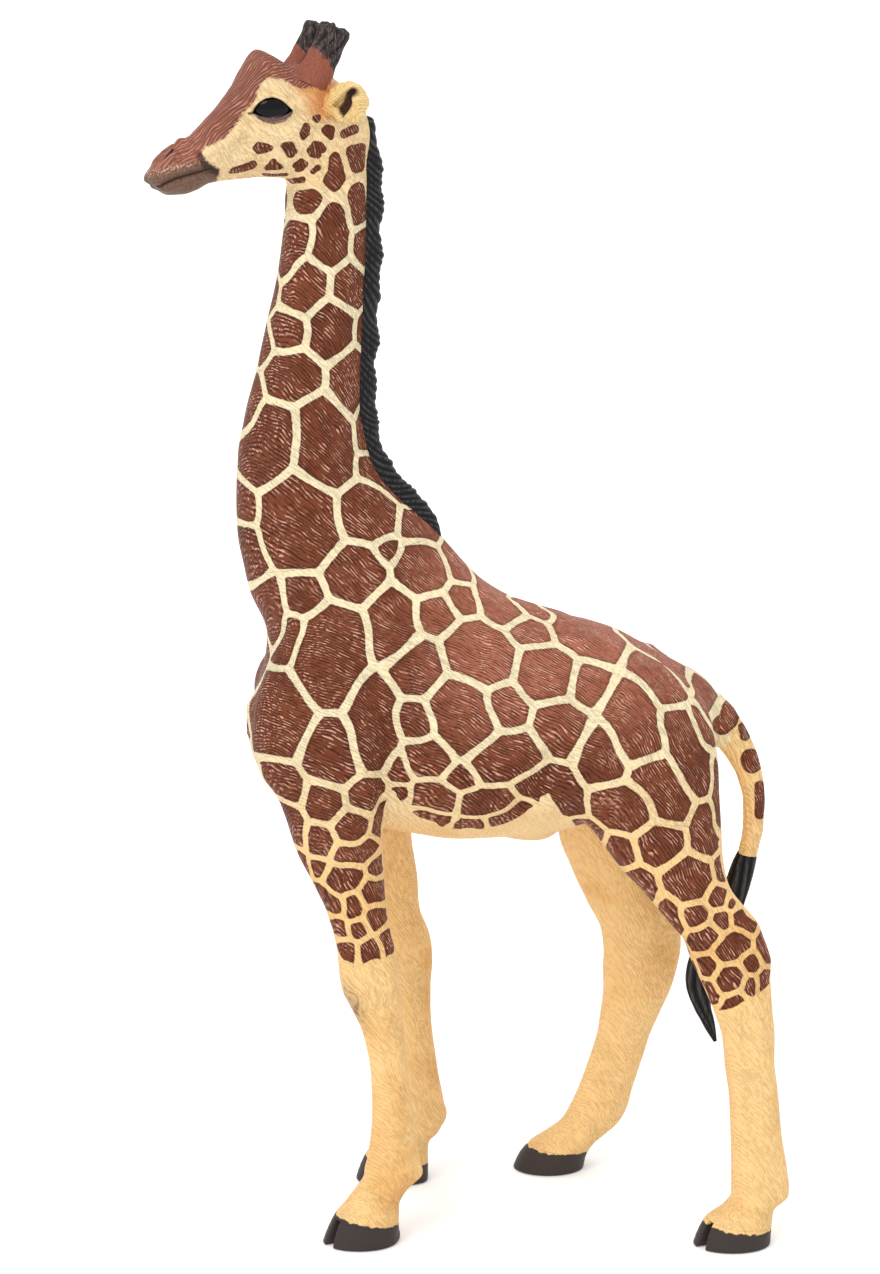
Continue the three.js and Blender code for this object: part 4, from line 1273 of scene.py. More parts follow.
def add_object(name: str, data: bpy.types.ID) -> bpy.types.Object:
    """Makes an object and puts it into the scene.

    Args:
        name: Object name.
        data: Its mesh, lamp or camera.

    Returns:
        The object.
    """
    item = bpy.data.objects.new(name, data)
    bpy.context.scene.collection.objects.link(item)
    return item


class Moulding:
    """Mesh in millimetres that is cut at seams before it becomes an object."""

    def __init__(self, points: Array, faces: Array) -> None:
        """Starts from points and faces.

        Args:
            points: Points in millimetres.
            faces: Faces with equal corner counts.
        """
        self.mesh = bmesh.new()
        shell = bpy.data.meshes.new("moulding")
        shell.vertices.add(len(points))
        shell.vertices.foreach_set("co", points.astype(np.float32).ravel())
        corners = faces.shape[1]
        shell.loops.add(faces.size)
        shell.loops.foreach_set("vertex_index", faces.astype(np.int32).ravel())
        shell.polygons.add(len(faces))
        shell.polygons.foreach_set("loop_start", np.arange(0, faces.size, corners, dtype=np.int32))
        shell.update(calc_edges=True)
        shell.validate()
        self.mesh.from_mesh(shell)
        bpy.data.meshes.remove(shell)

    def cut(self, point: Point, normal: Vector) -> None:
        """Cuts away what lies beyond a plane and closes the cut.

        Args:
            point: Point on the plane.
            normal: Points to the side that goes.
        """
        geometry = self.mesh.verts[:] + self.mesh.edges[:] + self.mesh.faces[:]
        bmesh.ops.bisect_plane(
            self.mesh, geom=geometry, dist=1e-5, plane_co=point, plane_no=normal, clear_outer=True
        )
        rim = [edge for edge in self.mesh.edges if edge.is_boundary]
        if rim:
            made = bmesh.ops.triangle_fill(
                self.mesh, edges=rim, use_beauty=True, use_dissolve=False, normal=normal
            )
            faces = [item for item in made["geom"] if isinstance(item, bmesh.types.BMFace)]
            for face in faces:
                if face.normal.dot(normal) < 0:
                    face.normal_flip()

    def keep_largest(self) -> None:
        """Drops every loose scrap but the largest body."""
        left = set(self.mesh.verts)
        bodies: list[list[bmesh.types.BMVert]] = []
        while left:
            seed = left.pop()
            body, queue = [seed], [seed]
            while queue:
                for edge in queue.pop().link_edges:
                    for vert in edge.verts:
                        if vert in left:
                            left.discard(vert)
                            body.append(vert)
                            queue.append(vert)
            bodies.append(body)
        bodies.sort(key=len)
        for body in bodies[:-1]:
            bmesh.ops.delete(self.mesh, geom=body, context="VERTS")

    def finish(self, name: str) -> bpy.types.Object:
        """Makes the object, in metres.

        Args:
            name: Object name.

        Returns:
            The object.
        """
        mesh = bpy.data.meshes.new(name)
        self.mesh.to_mesh(mesh)
        self.mesh.free()
        mesh.transform(scale_matrix(MM))
        mesh.shade_smooth()
        return add_object(name, mesh)


def scale_matrix(factor: float) -> Matrix:
    """Makes a matrix that scales about the origin."""
    return Matrix.Diagonal((factor, factor, factor, 1.0))


def places_of(item: bpy.types.Object) -> Array:
    """Reads an object's points in millimetres.

    Args:
        item: The object.

    Returns:
        Points, one a row.
    """
    flat = np.empty(len(item.data.vertices) * 3, dtype=np.float32)
    item.data.vertices.foreach_get("co", flat)
    return flat.reshape(-1, 3).astype(np.float64) / MM


def set_attribute(item: bpy.types.Object, name: str, values: Array) -> None:
    """Stores one number at each point of an object."""
    layer = item.data.attributes.new(name=name, type="FLOAT", domain="POINT")
    layer.data.foreach_set("value", values.astype(np.float32))


@dataclass(frozen=True)
class Patch:
    """One coat patch on the skin."""

    points: tuple[Point, ...]
    reach: float
    tone: float

    @classmethod
    def at(cls, places: Array, reach: float, tone: float) -> "Patch":
        """Makes a patch along places, one a row."""
        return cls(tuple(map(tuple, places.tolist())), reach, tone)


class Coat:
    """Reticulated coat: patches that grow until a pale line is left between them."""

    pixel_scale = 5.45
    line_width = 1.25
    far_jitter = 0.8
    front_offset = 6.0
    front_gap = 1.5
    back_spare = 3.6
    margin = 20
    far_away = 1e3
    usual_reach = 3.2
    open_gap: Limits = (1.6, 3.6)
    free_height: Limits = (90.0, 98.0)
    head_height: Limits = (184.0, 189.0)

    def __init__(self, skin: Skin) -> None:
        """Lays the photograph's patches on the skin and their like on the far side.

        Args:
            skin: The skin.
        """
        self.skin = skin
        random = np.random.default_rng(7)
        self.patches: list[Patch] = []
        for reach, pixels in COAT_PATCHES:
            places = skin.land(pixels)
            if len(places) == 0:
                LOG.warning("patch at %s misses the skin", pixels[0])
                continue
            near = Patch.at(places, reach / self.pixel_scale, float(random.uniform(-1, 1)))
            far = self._partner(near, random)
            self.patches += [near, far] if far else [self._across(near)]
        for reach, (x, z) in FRONT_PATCHES:
            place = skin.settle(np.array([[x, self.front_offset + float(random.normal(0, 0.8)), z]]))
            if self._free(place):
                self.patches.append(Patch.at(place, reach, float(random.uniform(-1, 1))))
        LOG.info("coat patches: %d", len(self.patches))

    def _free(self, place: Array) -> bool:
        """Tells whether a place, given as one row, lies clear of every patch laid so far."""
        gaps = (segment_distance(list(place.T), patch.points)[0] - patch.reach for patch in self.patches)
        return min(gaps) > self.front_gap

    def _partner(self, patch: Patch, random: np.random.Generator) -> Patch | None:
        """Finds the patch on the far side that answers one on the near side, a little moved.

        Args:
            patch: Patch on the near side.
            random: Source of the move.

        Returns:
            The new patch, or None where the patch already crosses the middle.
        """
        tone = float(random.uniform(-1, 1))
        move = random.normal(0, self.far_jitter, size=3)
        _, across, _ = self.skin.head.local(*np.array(patch.points).T)
        aside = [-a if p[2] > CHIN_HEIGHT else -p[1] for p, a in zip(patch.points, across)]
        on_back = patch.points[0][0] > -24 and 90 < patch.points[0][2] < 138
        spare = self.back_spare if on_back else -0.3 * patch.reach
        if min(aside) < patch.reach + spare:
            return None
        places = self.skin.settle(np.array([self.skin.mirror(point) for point in patch.points]) + move)
        return Patch.at(places, patch.reach, tone)

    def _across(self, patch: Patch) -> Patch:
        """Carries a patch that lies by the mid plane over to the far side.

        Args:
            patch: Patch on the near side.

        Returns:
            The longer patch.
        """
        points = sorted(patch.points, key=lambda point: point[1])
        beyond = self.skin.mirror(points[-1])
        middle = (np.array(points[-1]) + np.array(beyond)) / 2
        ends = self.skin.settle(np.array([middle, beyond]))
        return Patch(tuple(points) + tuple(map(tuple, ends.tolist())), patch.reach, patch.tone)

    def paint(self, places: Array) -> tuple[Array, Array]:
        """Finds how far inside a patch each point lies.

        Args:
            places: Points in millimetres.

        Returns:
            Millimetres inside the nearest patch's edge, below zero on a pale line, and that patch's tone.
        """
        count = len(places)
        first = np.full(count, self.far_away, dtype=np.float32)
        second = np.full(count, self.far_away, dtype=np.float32)
        reach = np.zeros(count, dtype=np.float32)
        tone = np.zeros(count, dtype=np.float32)
        columns = [places[:, axis].astype(np.float32) for axis in range(3)]
        for patch in self.patches:
            span = np.array(patch.points)
            near = np.ones(count, dtype=bool)
            for axis in range(3):
                near &= columns[axis] > span[:, axis].min() - self.margin
                near &= columns[axis] < span[:, axis].max() + self.margin
            index = np.nonzero(near)[0]
            if not len(index):
                continue
            gap = segment_distance([column[index] for column in columns], patch.points) - patch.reach
            best = first[index]
            closer = gap < best
            second[index] = np.where(closer, best, np.minimum(second[index], gap))
            first[index] = np.where(closer, gap, best)
            reach[index] = np.where(closer, patch.reach, reach[index])
            tone[index] = np.where(closer, patch.tone, tone[index])
        line = self.line_width * (0.62 + 0.38 * np.clip(reach / self.usual_reach, 0.15, 1.2))
        inside = (second - first) / 2 - line / 2
        open_skin = smooth_step(*self.open_gap, second)
        free = smooth_step(*self.free_height, columns[2])
        open_skin = open_skin * (1 - free)
        limit = open_skin * (0.45 + 0.3 * reach) + (1 - open_skin) * (2.4 + 0.9 * reach) + 9 * free - first
        head = smooth_step(*self.head_height, columns[2])
        limit = limit * (1 - head) + head * (0.1 - first)
        return soft_min(inside, limit.astype(np.float32), 0.25), tone


def mask_distance(pixels: Array, corners: Sequence[Pixel]) -> Array:
    """Measures how far pixels lie inside a closed outline.

    Args:
        pixels: Pixels, one a row.
        corners: The outline.

    Returns:
        Pixels inside the outline, below zero outside.
    """
    closed = list(corners) + [corners[0]]
    columns = [pixels[:, 0].astype(np.float32), pixels[:, 1].astype(np.float32)]
    reach = segment_distance(columns, closed)
    inside = np.zeros(len(pixels), dtype=bool)
    for (u0, v0), (u1, v1) in zip(closed[:-1], closed[1:]):
        if v0 == v1:
            continue
        crosses = (v0 > columns[1]) != (v1 > columns[1])
        at = u0 + (columns[1] - v0) * (u1 - u0) / (v1 - v0)
        inside ^= crosses & (columns[0] < at)
    return np.where(inside, reach, -reach)


def tail_patches(pixels: Array) -> Array:
    """Measures how far inside one of the tail's patches pixels lie.

    Args:
        pixels: Pixels, one a row.

    Returns:
        Millimetres, below zero outside.
    """
    columns = [pixels[:, 0].astype(np.float32), pixels[:, 1].astype(np.float32)]
    best = np.full(len(pixels), -9.0)
    for reach, line in TAIL_PATCHES:
        best = np.maximum(best, (reach - segment_distance(columns, line)) / Coat.pixel_scale)
    return best


class Graph:
    """Thin helper that adds nodes to a tree and joins them."""

    def __init__(self, tree: bpy.types.NodeTree) -> None:
        """Keeps the tree that nodes are added to."""
        self.tree = tree

    def node(
        self, kind: str, inputs: dict[str | int, object] | None = None, **settings: object
    ) -> bpy.types.Node:
        """Adds a node.

        Args:
            kind: Node type.
            inputs: Values or sockets for its inputs.
            settings: Properties to set first.

        Returns:
            The node.
        """
        made = self.tree.nodes.new(kind)
        for name, value in settings.items():
            setattr(made, name, value)
        for name, value in (inputs or {}).items():
            socket = made.inputs[name]
            if isinstance(value, bpy.types.NodeSocket):
                self.tree.links.new(value, socket)
            else:
                socket.default_value = value
        return made

    def link(self, value: bpy.types.NodeSocket, node: bpy.types.Node, name: str) -> None:
        """Joins a result to a node's named input."""
        self.tree.links.new(value, node.inputs[name])

    def effect(self, tree: bpy.types.NodeTree, **inputs: object) -> bpy.types.Node:
        """Places a shared effect, with values or sockets for its named inputs."""
        return self.node("ShaderNodeGroup", inputs, node_tree=tree)

    def noise(self, place: object, scale: object, detail: float = 2.0) -> bpy.types.NodeSocket:
        """Adds a noise texture at a place."""
        return self.node("ShaderNodeTexNoise", {"Vector": place, "Scale": scale, "Detail": detail}).outputs[0]

    def times(self, first: object, second: object) -> bpy.types.NodeSocket:
        """Multiplies two values or sockets."""
        return self.math("MULTIPLY", first, second)

    def plus(self, first: object, second: object) -> bpy.types.NodeSocket:
        """Adds two values or sockets."""
        return self.math("ADD", first, second)

    def math(
        self, operation: str, first: object, second: object = 0.0, clamp: bool = False
    ) -> bpy.types.NodeSocket:
        """Adds a Math node, whose result is held between 0 and 1 where it clamps."""
        made = self.node("ShaderNodeMath", {0: first, 1: second}, operation=operation, use_clamp=clamp)
        return made.outputs[0]

    def mix(self, factor: object, first: object, second: object) -> bpy.types.NodeSocket:
        """Mixes two colours, from the first at factor 0 to the second at 1."""
        return self.node("ShaderNodeMix", {0: factor, 6: first, 7: second}, data_type="RGBA").outputs[2]

    def tint(self, base: object, over: object, mask: object, strength: float) -> bpy.types.NodeSocket:
        """Lays a colour over another where a mask is, at a given strength."""
        return self.mix(self.times(mask, strength), base, over)

    def blend(self, weight: bpy.types.NodeSocket, first: object, second: object) -> bpy.types.NodeSocket:
        """Mixes two numbers, from the first at weight 0 to the second at 1."""
        return self.node("ShaderNodeMix", {0: weight, 2: first, 3: second}, data_type="FLOAT").outputs[0]

    def ramp(self, value: object, low: float, high: float) -> bpy.types.NodeSocket:
        """Eases a value from 0 to 1 between two limits.

        Args:
            value: Socket to read.
            low: Value that gives 0.
            high: Value that gives 1.

        Returns:
            The eased value.
        """
        made = self.node(
            "ShaderNodeMapRange",
            {"Value": value, "From Min": low, "From Max": high, "To Min": 0.0, "To Max": 1.0},
            interpolation_type="SMOOTHSTEP",
        )
        return made.outputs[0]

    def attribute(self, name: str) -> bpy.types.NodeSocket:
        """Reads a mesh attribute."""
        return self.node("ShaderNodeAttribute", attribute_name=name).outputs["Fac"]

    def millimetres(self) -> bpy.types.NodeSocket:
        """Reads the point on the object in millimetres."""
        place = self.node("ShaderNodeTexCoord").outputs["Object"]
        return self.node("ShaderNodeVectorMath", {0: place, "Scale": 1 / MM}, operation="SCALE").outputs[0]


def linear(value: float) -> float:
    """Turns one channel of a screen colour, 0 to 255, into the renderer's."""
    share = value / 255
    return share / 12.92 if share <= 0.04045 else ((share + 0.055) / 1.055) ** 2.4


def colour(red: int, green: int, blue: int) -> Colour:
    """Turns a colour as it looks on a screen, 0 to 255, into the renderer's, with alpha."""
    return (linear(red), linear(green), linear(blue), 1.0)


def group(name: str, inputs: Iterable[tuple[str, str, object]], outputs: Iterable[tuple[str, str]]) -> tuple:
    """Starts a node group with named sockets.

    Args:
        name: Group name.
        inputs: Name, socket type and default of each input.
        outputs: Name and socket type of each output.

    Returns:
        The tree, its graph, its input node and its output node.
    """
    tree = bpy.data.node_groups.new(name, "ShaderNodeTree")
    for label, kind, default in inputs:
        socket = tree.interface.new_socket(label, in_out="INPUT", socket_type=kind)
        if default is not None:
            socket.default_value = default
    for label, kind in outputs:
        tree.interface.new_socket(label, in_out="OUTPUT", socket_type=kind)
    graph = Graph(tree)
    return tree, graph, tree.nodes.new("NodeGroupInput"), tree.nodes.new("NodeGroupOutput")


FLOAT = "NodeSocketFloat"
VECTOR = "NodeSocketVector"


class Effects:
    """Shader effects shared by several materials."""

    def __init__(self) -> None:
        """Builds every shared group."""
        self.hair = self._hair()
        self.edge = self._edge()
        self.strands = self._strands()

    def _hair(self) -> bpy.types.NodeTree:
        """Makes short moulded hair: long narrow strokes that follow one direction.

        Returns:
            The group.
        """
        tree, graph, given, result = group(
            "MouldedHair",
            (
                ("Place", VECTOR, None),
                ("Turn", FLOAT, 0.8),
                ("Length", FLOAT, 2.6),
                ("Width", FLOAT, 0.5),
            ),
            (("Height", FLOAT), ("Groove", FLOAT), ("Fleck", FLOAT)),
        )
        start = given.outputs["Place"]
        wander = graph.node("ShaderNodeTexNoise", {"Vector": start, "Scale": 0.12, "Detail": 1.0})
        half = (0.5, 0.5, 0.5)
        bend = graph.node("ShaderNodeVectorMath", {0: wander.outputs["Color"], 1: half}, operation="SUBTRACT")
        bent = graph.node("ShaderNodeVectorMath", {0: bend.outputs[0], "Scale": 2.6}, operation="SCALE")
        place = graph.node("ShaderNodeVectorMath", {0: start, 1: bent.outputs[0]}, operation="ADD").outputs[0]
        turned = graph.node(
            "ShaderNodeVectorRotate",
            {"Vector": place, "Axis": (0.0, 1.0, 0.0), "Angle": given.outputs["Turn"]},
            rotation_type="AXIS_ANGLE",
        )
        parts = graph.node("ShaderNodeSeparateXYZ", {0: turned.outputs[0]})
        along = graph.math("DIVIDE", parts.outputs[0], given.outputs["Length"])
        across = graph.math("DIVIDE", parts.outputs[2], given.outputs["Width"])
        aside = graph.math("DIVIDE", parts.outputs[1], given.outputs["Width"])
        flow = graph.node("ShaderNodeCombineXYZ", {0: along, 1: aside, 2: across}).outputs[0]
        drift = graph.noise(place, 0.3, 0.0)
        broken = graph.noise(flow, 0.75, 1.0)
        short = graph.noise(flow, 1.1, 1.0)
        # Noise that decides where the flecks, partly painted glints of light, show.
        highlight_mask = graph.noise(start, 0.25)
        turns = graph.times(graph.plus(across, graph.times(aside, 0.7)), math.tau)
        turns = graph.plus(turns, graph.times(drift, 8.0))
        turns = graph.plus(turns, graph.times(broken, 6.5))
        wave = graph.plus(graph.times(graph.math("SINE", turns), 0.5), 0.5)
        strength = graph.ramp(short, 0.38, 0.58)
        height = graph.times(wave, graph.plus(graph.times(strength, 0.7), 0.3))
        kept = graph.plus(graph.times(graph.ramp(broken, 0.6, 0.44), 0.8), 0.2)
        # Groove marks the hair's grooves, where the materials paint shade.
        groove = graph.times(graph.ramp(wave, 0.5, 0.1), kept)
        # Fleck marks dry-brushed hairs on the crests, partly a painted glint of light.
        shown = graph.times(graph.ramp(wave, 0.5, 0.82), graph.ramp(short, 0.48, 0.57))
        shown = graph.times(shown, graph.ramp(highlight_mask, 0.34, 0.6))
        for label, value in (("Height", height), ("Groove", groove), ("Fleck", shown)):
            graph.link(value, result, label)
        return tree

    def _edge(self) -> bpy.types.NodeTree:
        """Makes a brushed edge out of a signed distance.

        Returns:
            The group.
        """
        tree, graph, given, result = group(
            "BrushedEdge",
            (
                ("Place", VECTOR, None),
                ("Inside", FLOAT, 0.0),
                ("Wander", FLOAT, 0.25),
                ("Softness", FLOAT, 0.12),
                ("Grain", FLOAT, 1.2),
            ),
            (("Mask", FLOAT),),
        )
        noise = graph.noise(given.outputs["Place"], given.outputs["Grain"], 3.0)
        centred = graph.math("SUBTRACT", noise, 0.5)
        moved = graph.plus(given.outputs["Inside"], graph.times(centred, given.outputs["Wander"]))
        scaled = graph.math("DIVIDE", moved, given.outputs["Softness"])
        mask = graph.math("ADD", scaled, 0.5, clamp=True)
        graph.link(mask, result, "Mask")
        return tree

    def _strands(self) -> bpy.types.NodeTree:
        """Makes fine strands along one axis of a given vector.

        Returns:
            The group.
        """
        tree, graph, given, result = group(
            "FineStrands",
            (("Place", VECTOR, None), ("Density", FLOAT, 3.0)),
            (("Height", FLOAT),),
        )
        parts = graph.node("ShaderNodeSeparateXYZ", {0: given.outputs["Place"]})
        flow = graph.node(
            "ShaderNodeCombineXYZ",
            {
                0: graph.times(parts.outputs[0], given.outputs["Density"]),
                1: graph.times(parts.outputs[1], given.outputs["Density"]),
                2: graph.times(parts.outputs[2], 0.35),
            },
        )
        graph.link(graph.noise(flow.outputs[0], 1.0, 3.0), result, "Height")
        return tree


@dataclass(frozen=True)
class Finish:
    """A painted plastic surface. The relief is the depth of its grain in millimetres."""

    name: str
    slot: str
    roughness: float
    relief: float
    specular: float = 0.16


class Surface:
    """A material in the making, with the shared effects at hand."""

    def __init__(self, finish: Finish, effects: Effects) -> None:
        """Starts the material with its Principled shader.

        Args:
            finish: The surface.
            effects: The shared effects.
        """
        self.finish = finish
        self.effects = effects
        self.material = bpy.data.materials.new(finish.name)
        self.material.use_nodes = True
        self.graph = Graph(self.material.node_tree)
        self.shader = self.material.node_tree.nodes["Principled BSDF"]
        self.shader.inputs["Roughness"].default_value = finish.roughness
        self.shader.inputs["Specular IOR Level"].default_value = finish.specular
        self.place = self.graph.millimetres()

    def hair(self, turn: float, length: float, width: float) -> bpy.types.Node:
        """Places moulded hair that lies at a turn, with hairs so long and wide in millimetres."""
        return self.graph.effect(self.effects.hair, Place=self.place, Turn=turn, Length=length, Width=width)

    def strands(self) -> bpy.types.NodeSocket:
        """Places fine strands and reads their height."""
        return self.graph.effect(self.effects.strands, Place=self.place).outputs["Height"]

    def edge(self, name: str, wander: float, softness: float, grain: float = 1.2) -> bpy.types.NodeSocket:
        """Makes a brushed edge of an attribute that holds a signed distance.

        Args:
            name: Attribute name.
            wander: Millimetres that the edge strays.
            softness: Millimetres that it fades over.
            grain: Scale of the straying.

        Returns:
            1 inside the edge and 0 outside.
        """
        inside = self.graph.attribute(name)
        brushed = self.graph.effect(
            self.effects.edge,
            Place=self.place, Inside=inside, Wander=wander, Softness=softness, Grain=grain,
        )
        return brushed.outputs["Mask"]

    def dress(
        self, base: bpy.types.NodeSocket, height: bpy.types.NodeSocket | None = None
    ) -> bpy.types.Material:
        """Feeds the shader.

        Args:
            base: Colour.
            height: Height of the grain, if it has one.

        Returns:
            The finished material.
        """
        self.graph.link(base, self.shader, "Base Color")
        if height is not None:
            depth = self.finish.relief * MM
            bump = self.graph.node("ShaderNodeBump", {"Height": height, "Strength": 1.0, "Distance": depth})
            self.graph.link(bump.outputs[0], self.shader, "Normal")
        return self.material


class CoatHair:
    """Moulded hair of the coat, which lies its own way on the neck, barrel, limbs and nose."""

    def __init__(self, surface: Surface, face: bpy.types.NodeSocket) -> None:
        """Places the four lies of hair.

        Args:
            surface: The coat's material.
            face: 1 on the face mask, where the nose's hair grows.
        """
        self.graph = surface.graph
        self.face = face
        self.neck = surface.hair(-0.8, 1.9, 0.58)
        self.barrel = surface.hair(-0.55, 1.9, 0.56)
        self.limb = surface.hair(-1.0, 1.8, 0.54)
        self.nose = surface.hair(0.85, 3.0, 0.7)
        self.on_neck = self.graph.attribute("flow_neck")
        self.on_limb = self.graph.attribute("flow_limb")

    def read(self, label: str) -> bpy.types.NodeSocket:
        """Mixes one output of the four, each where it grows.

        Args:
            label: Name of the output.

        Returns:
            The mixed value.
        """
        body = self.graph.blend(self.on_limb, self.barrel.outputs[label], self.limb.outputs[label])
        body = self.graph.blend(self.on_neck, body, self.neck.outputs[label])
        return self.graph.blend(self.face, body, self.nose.outputs[label])


class Paint:
    """Materials of the figure."""

    brown = colour(132, 70, 42)
    # Brown of the top of the back and rump, painted lighter as painted light from above.
    brown_painted_top_light = colour(176, 106, 82)
    brown_dark = colour(104, 50, 28)
    # Painted shade in the hair's grooves, also the dark rim painted along each patch's edge.
    brown_groove_shade_and_rim = colour(40, 10, 0)
    # Dry-brushed hairs, partly a painted glint of light on the hair crests.
    fleck = colour(232, 176, 150)
    line = colour(244, 228, 188)
    cream = colour(246, 204, 140)
    orange = colour(224, 160, 84)
    ear_orange = colour(210, 132, 66)
    # Paint wash in the pale coat's hair grooves, which also paints shade there.
    wash_and_groove_shade = colour(150, 104, 60)
    # Face mask: lower hair painted darker and raised hair lighter, partly dry-brushed paint and partly
    # painted shade and highlight.
    mask_low = colour(126, 72, 54)
    mask_high = colour(178, 120, 102)
    # Painted shade in the mask's hair grooves, then its dry-brushed hairs, partly a painted glint of light.
    mask_groove_shade = colour(84, 38, 26)
    mask_drybrush_and_glint = colour(206, 152, 130)
    snout_low = colour(62, 42, 34)
    snout_high = colour(146, 112, 94)
    snout_dots = colour(214, 176, 150)
    lid = colour(118, 88, 88)
    outline = colour(26, 15, 13)
    smudge = colour(78, 60, 56)
    black = colour(30, 28, 29)
    # Painted shade in the gaps between strands, and a painted highlight on their crests.
    strand_gap_shade = colour(5, 5, 6)
    strand_highlight = colour(104, 101, 102)
    hoof = colour(62, 54, 52)
    # Horn brown: lower strands painted darker and raised ones lighter, partly dry-brushed paint and partly
    # painted shade and highlight.
    horn_low = colour(110, 56, 40)
    horn_high = colour(168, 100, 80)
    # Painted shade between the tip's locks, and a painted highlight on its raised hair.
    tip_gap_shade = colour(10, 8, 8)
    tip = colour(56, 47, 45)
    tip_highlight = colour(106, 92, 88)
    # Ear cream: lower hair painted darker and raised hair lighter, partly dry-brushed paint and partly
    # painted shade and highlight, with painted shade in the grooves.
    ear_low = colour(232, 190, 118)
    ear_high = colour(246, 226, 170)
    ear_groove_shade = colour(176, 122, 64)
    ear_base = colour(222, 156, 88)
    ear_hollow = colour(74, 48, 34)
    eye_dark = colour(3, 2, 2)
    eye_light = colour(10, 7, 6)
    eye_ring = colour(104, 74, 68)

    def __init__(self) -> None:
        """Builds the shared effects."""
        self.effects = Effects()

    @cache
    def coat(self, finish: Finish) -> bpy.types.Material:
        """Makes the painted coat: patches, pale lines, face, hooves and moulded hair, led by mesh attributes.

        Args:
            finish: The surface.

        Returns:
            The material.
        """
        surface = Surface(finish, self.effects)
        graph = surface.graph
        face = surface.edge("face", 1.3, 0.45, 1.5)
        hair = CoatHair(surface, face)
        shown = graph.math("SUBTRACT", 1.0, graph.times(graph.attribute("calm"), 0.8))
        height = hair.read("Height")
        # The hair's grooves take painted shade; its flecks are dry-brushed hairs that are partly a painted
        # glint of light.
        groove = graph.times(hair.read("Groove"), shown)
        fleck = graph.times(hair.read("Fleck"), shown)
        brown = self._brown(surface, groove, fleck)
        pale = self._pale(surface, groove)
        base = graph.mix(surface.edge("patch", 0.35, 0.16, 1.1), pale, brown)
        base = graph.mix(face, base, self._mask(surface, height, groove, fleck))
        base = graph.mix(graph.attribute("lid"), base, self.lid)
        base = graph.mix(graph.attribute("dark"), base, self.outline)
        streak = graph.plus(graph.times(groove, 0.4), 0.4)
        base = graph.mix(graph.times(graph.attribute("smudge"), streak), base, self.smudge)
        horn = surface.edge("horn", 1.2, 0.2, 0.9)
        base = graph.mix(horn, base, self.hoof)
        calm = graph.times(shown, graph.math("SUBTRACT", 1.0, graph.times(horn, 0.8)))
        return surface.dress(base, graph.times(height, calm))

    def _brown(
        self, surface: Surface, groove: bpy.types.NodeSocket, fleck: bpy.types.NodeSocket
    ) -> bpy.types.NodeSocket:
        """Mixes the brown of the patches.

        Args:
            surface: The coat's material.
            groove: 1 in the grooves of the hair, where shade is painted.
            fleck: 1 on the dry-brushed hairs, which are partly a painted glint of light on the hair crests.

        Returns:
            The colour.
        """
        graph = surface.graph
        rim = graph.ramp(graph.attribute("patch"), 0.75, 0.05)
        cloud = graph.noise(surface.place, 0.12, 3.0)
        light = graph.math("ADD", graph.times(graph.attribute("tone"), 0.2), cloud, clamp=True)
        brown = graph.mix(light, self.brown_dark, self.brown)
        # Painted light: the patches on top of the back and rump are painted lighter, as if lit from above.
        brown = graph.mix(graph.attribute("sun"), brown, self.brown_painted_top_light)
        # Painted shade in the hair's grooves.
        brown = graph.tint(brown, self.brown_groove_shade_and_rim, groove, 0.75)
        # Dry-brushed hairs, partly a painted glint of light on their crests.
        brown = graph.tint(brown, self.fleck, fleck, 0.8)
        return graph.tint(brown, self.brown_groove_shade_and_rim, rim, 0.35)

    def _pale(self, surface: Surface, groove: bpy.types.NodeSocket) -> bpy.types.NodeSocket:
        """Mixes the cream of the lines, legs and belly.

        Args:
            surface: The coat's material.
            groove: 1 in the grooves of the hair, where shade is painted.

        Returns:
            The colour.
        """
        graph = surface.graph
        warm = graph.attribute("warm")
        spots = graph.noise(surface.place, 0.09)
        deep = graph.times(graph.ramp(spots, 0.45, 0.75), warm)
        pale = graph.tint(graph.mix(warm, self.line, self.cream), self.orange, deep, 0.5)
        # A paint wash in the hair grooves that is also painted shade.
        pale = graph.tint(pale, self.wash_and_groove_shade, groove, 0.2)
        return graph.tint(pale, self.ear_orange, graph.attribute("orange"), 0.8)

    def _mask(
        self,
        surface: Surface,
        height: bpy.types.NodeSocket,
        groove: bpy.types.NodeSocket,
        fleck: bpy.types.NodeSocket,
    ) -> bpy.types.NodeSocket:
        """Mixes the brown face mask and the dark muzzle.

        Args:
            surface: The coat's material.
            height: Height of the hair.
            groove: 1 in its grooves, where shade is painted.
            fleck: 1 on the dry-brushed hairs, which are partly a painted glint of light on the hair crests.

        Returns:
            The colour.
        """
        graph = surface.graph
        # Raised hair painted lighter and lower hair darker: partly dry-brushed paint, partly painted
        # highlight and shade.
        mask = graph.mix(height, self.mask_low, self.mask_high)
        # Painted shade in the grooves, then dry-brushed hairs that are partly a painted glint of light.
        mask = graph.tint(mask, self.mask_groove_shade, groove, 0.36)
        mask = graph.tint(mask, self.mask_drybrush_and_glint, fleck, 0.35)
        speck = graph.noise(surface.place, 2.4)
        muzzle = graph.attribute("muzzle")
        ridge = graph.times(muzzle, graph.math("SUBTRACT", 1.0, muzzle))
        mask = graph.mix(muzzle, mask, graph.mix(speck, self.snout_low, self.snout_high))
        dots = graph.times(graph.ramp(speck, 0.5, 0.62), graph.times(ridge, 3.2))
        return graph.mix(dots, mask, self.snout_dots)

    @cache
    def strands(self, finish: Finish) -> bpy.types.Material:
        """Makes painted strands for the mane and tuft.

        Args:
            finish: The surface.

        Returns:
            The material.
        """
        surface = Surface(finish, self.effects)
        graph = surface.graph
        height = surface.strands()
        ridge = graph.attribute("ridge")
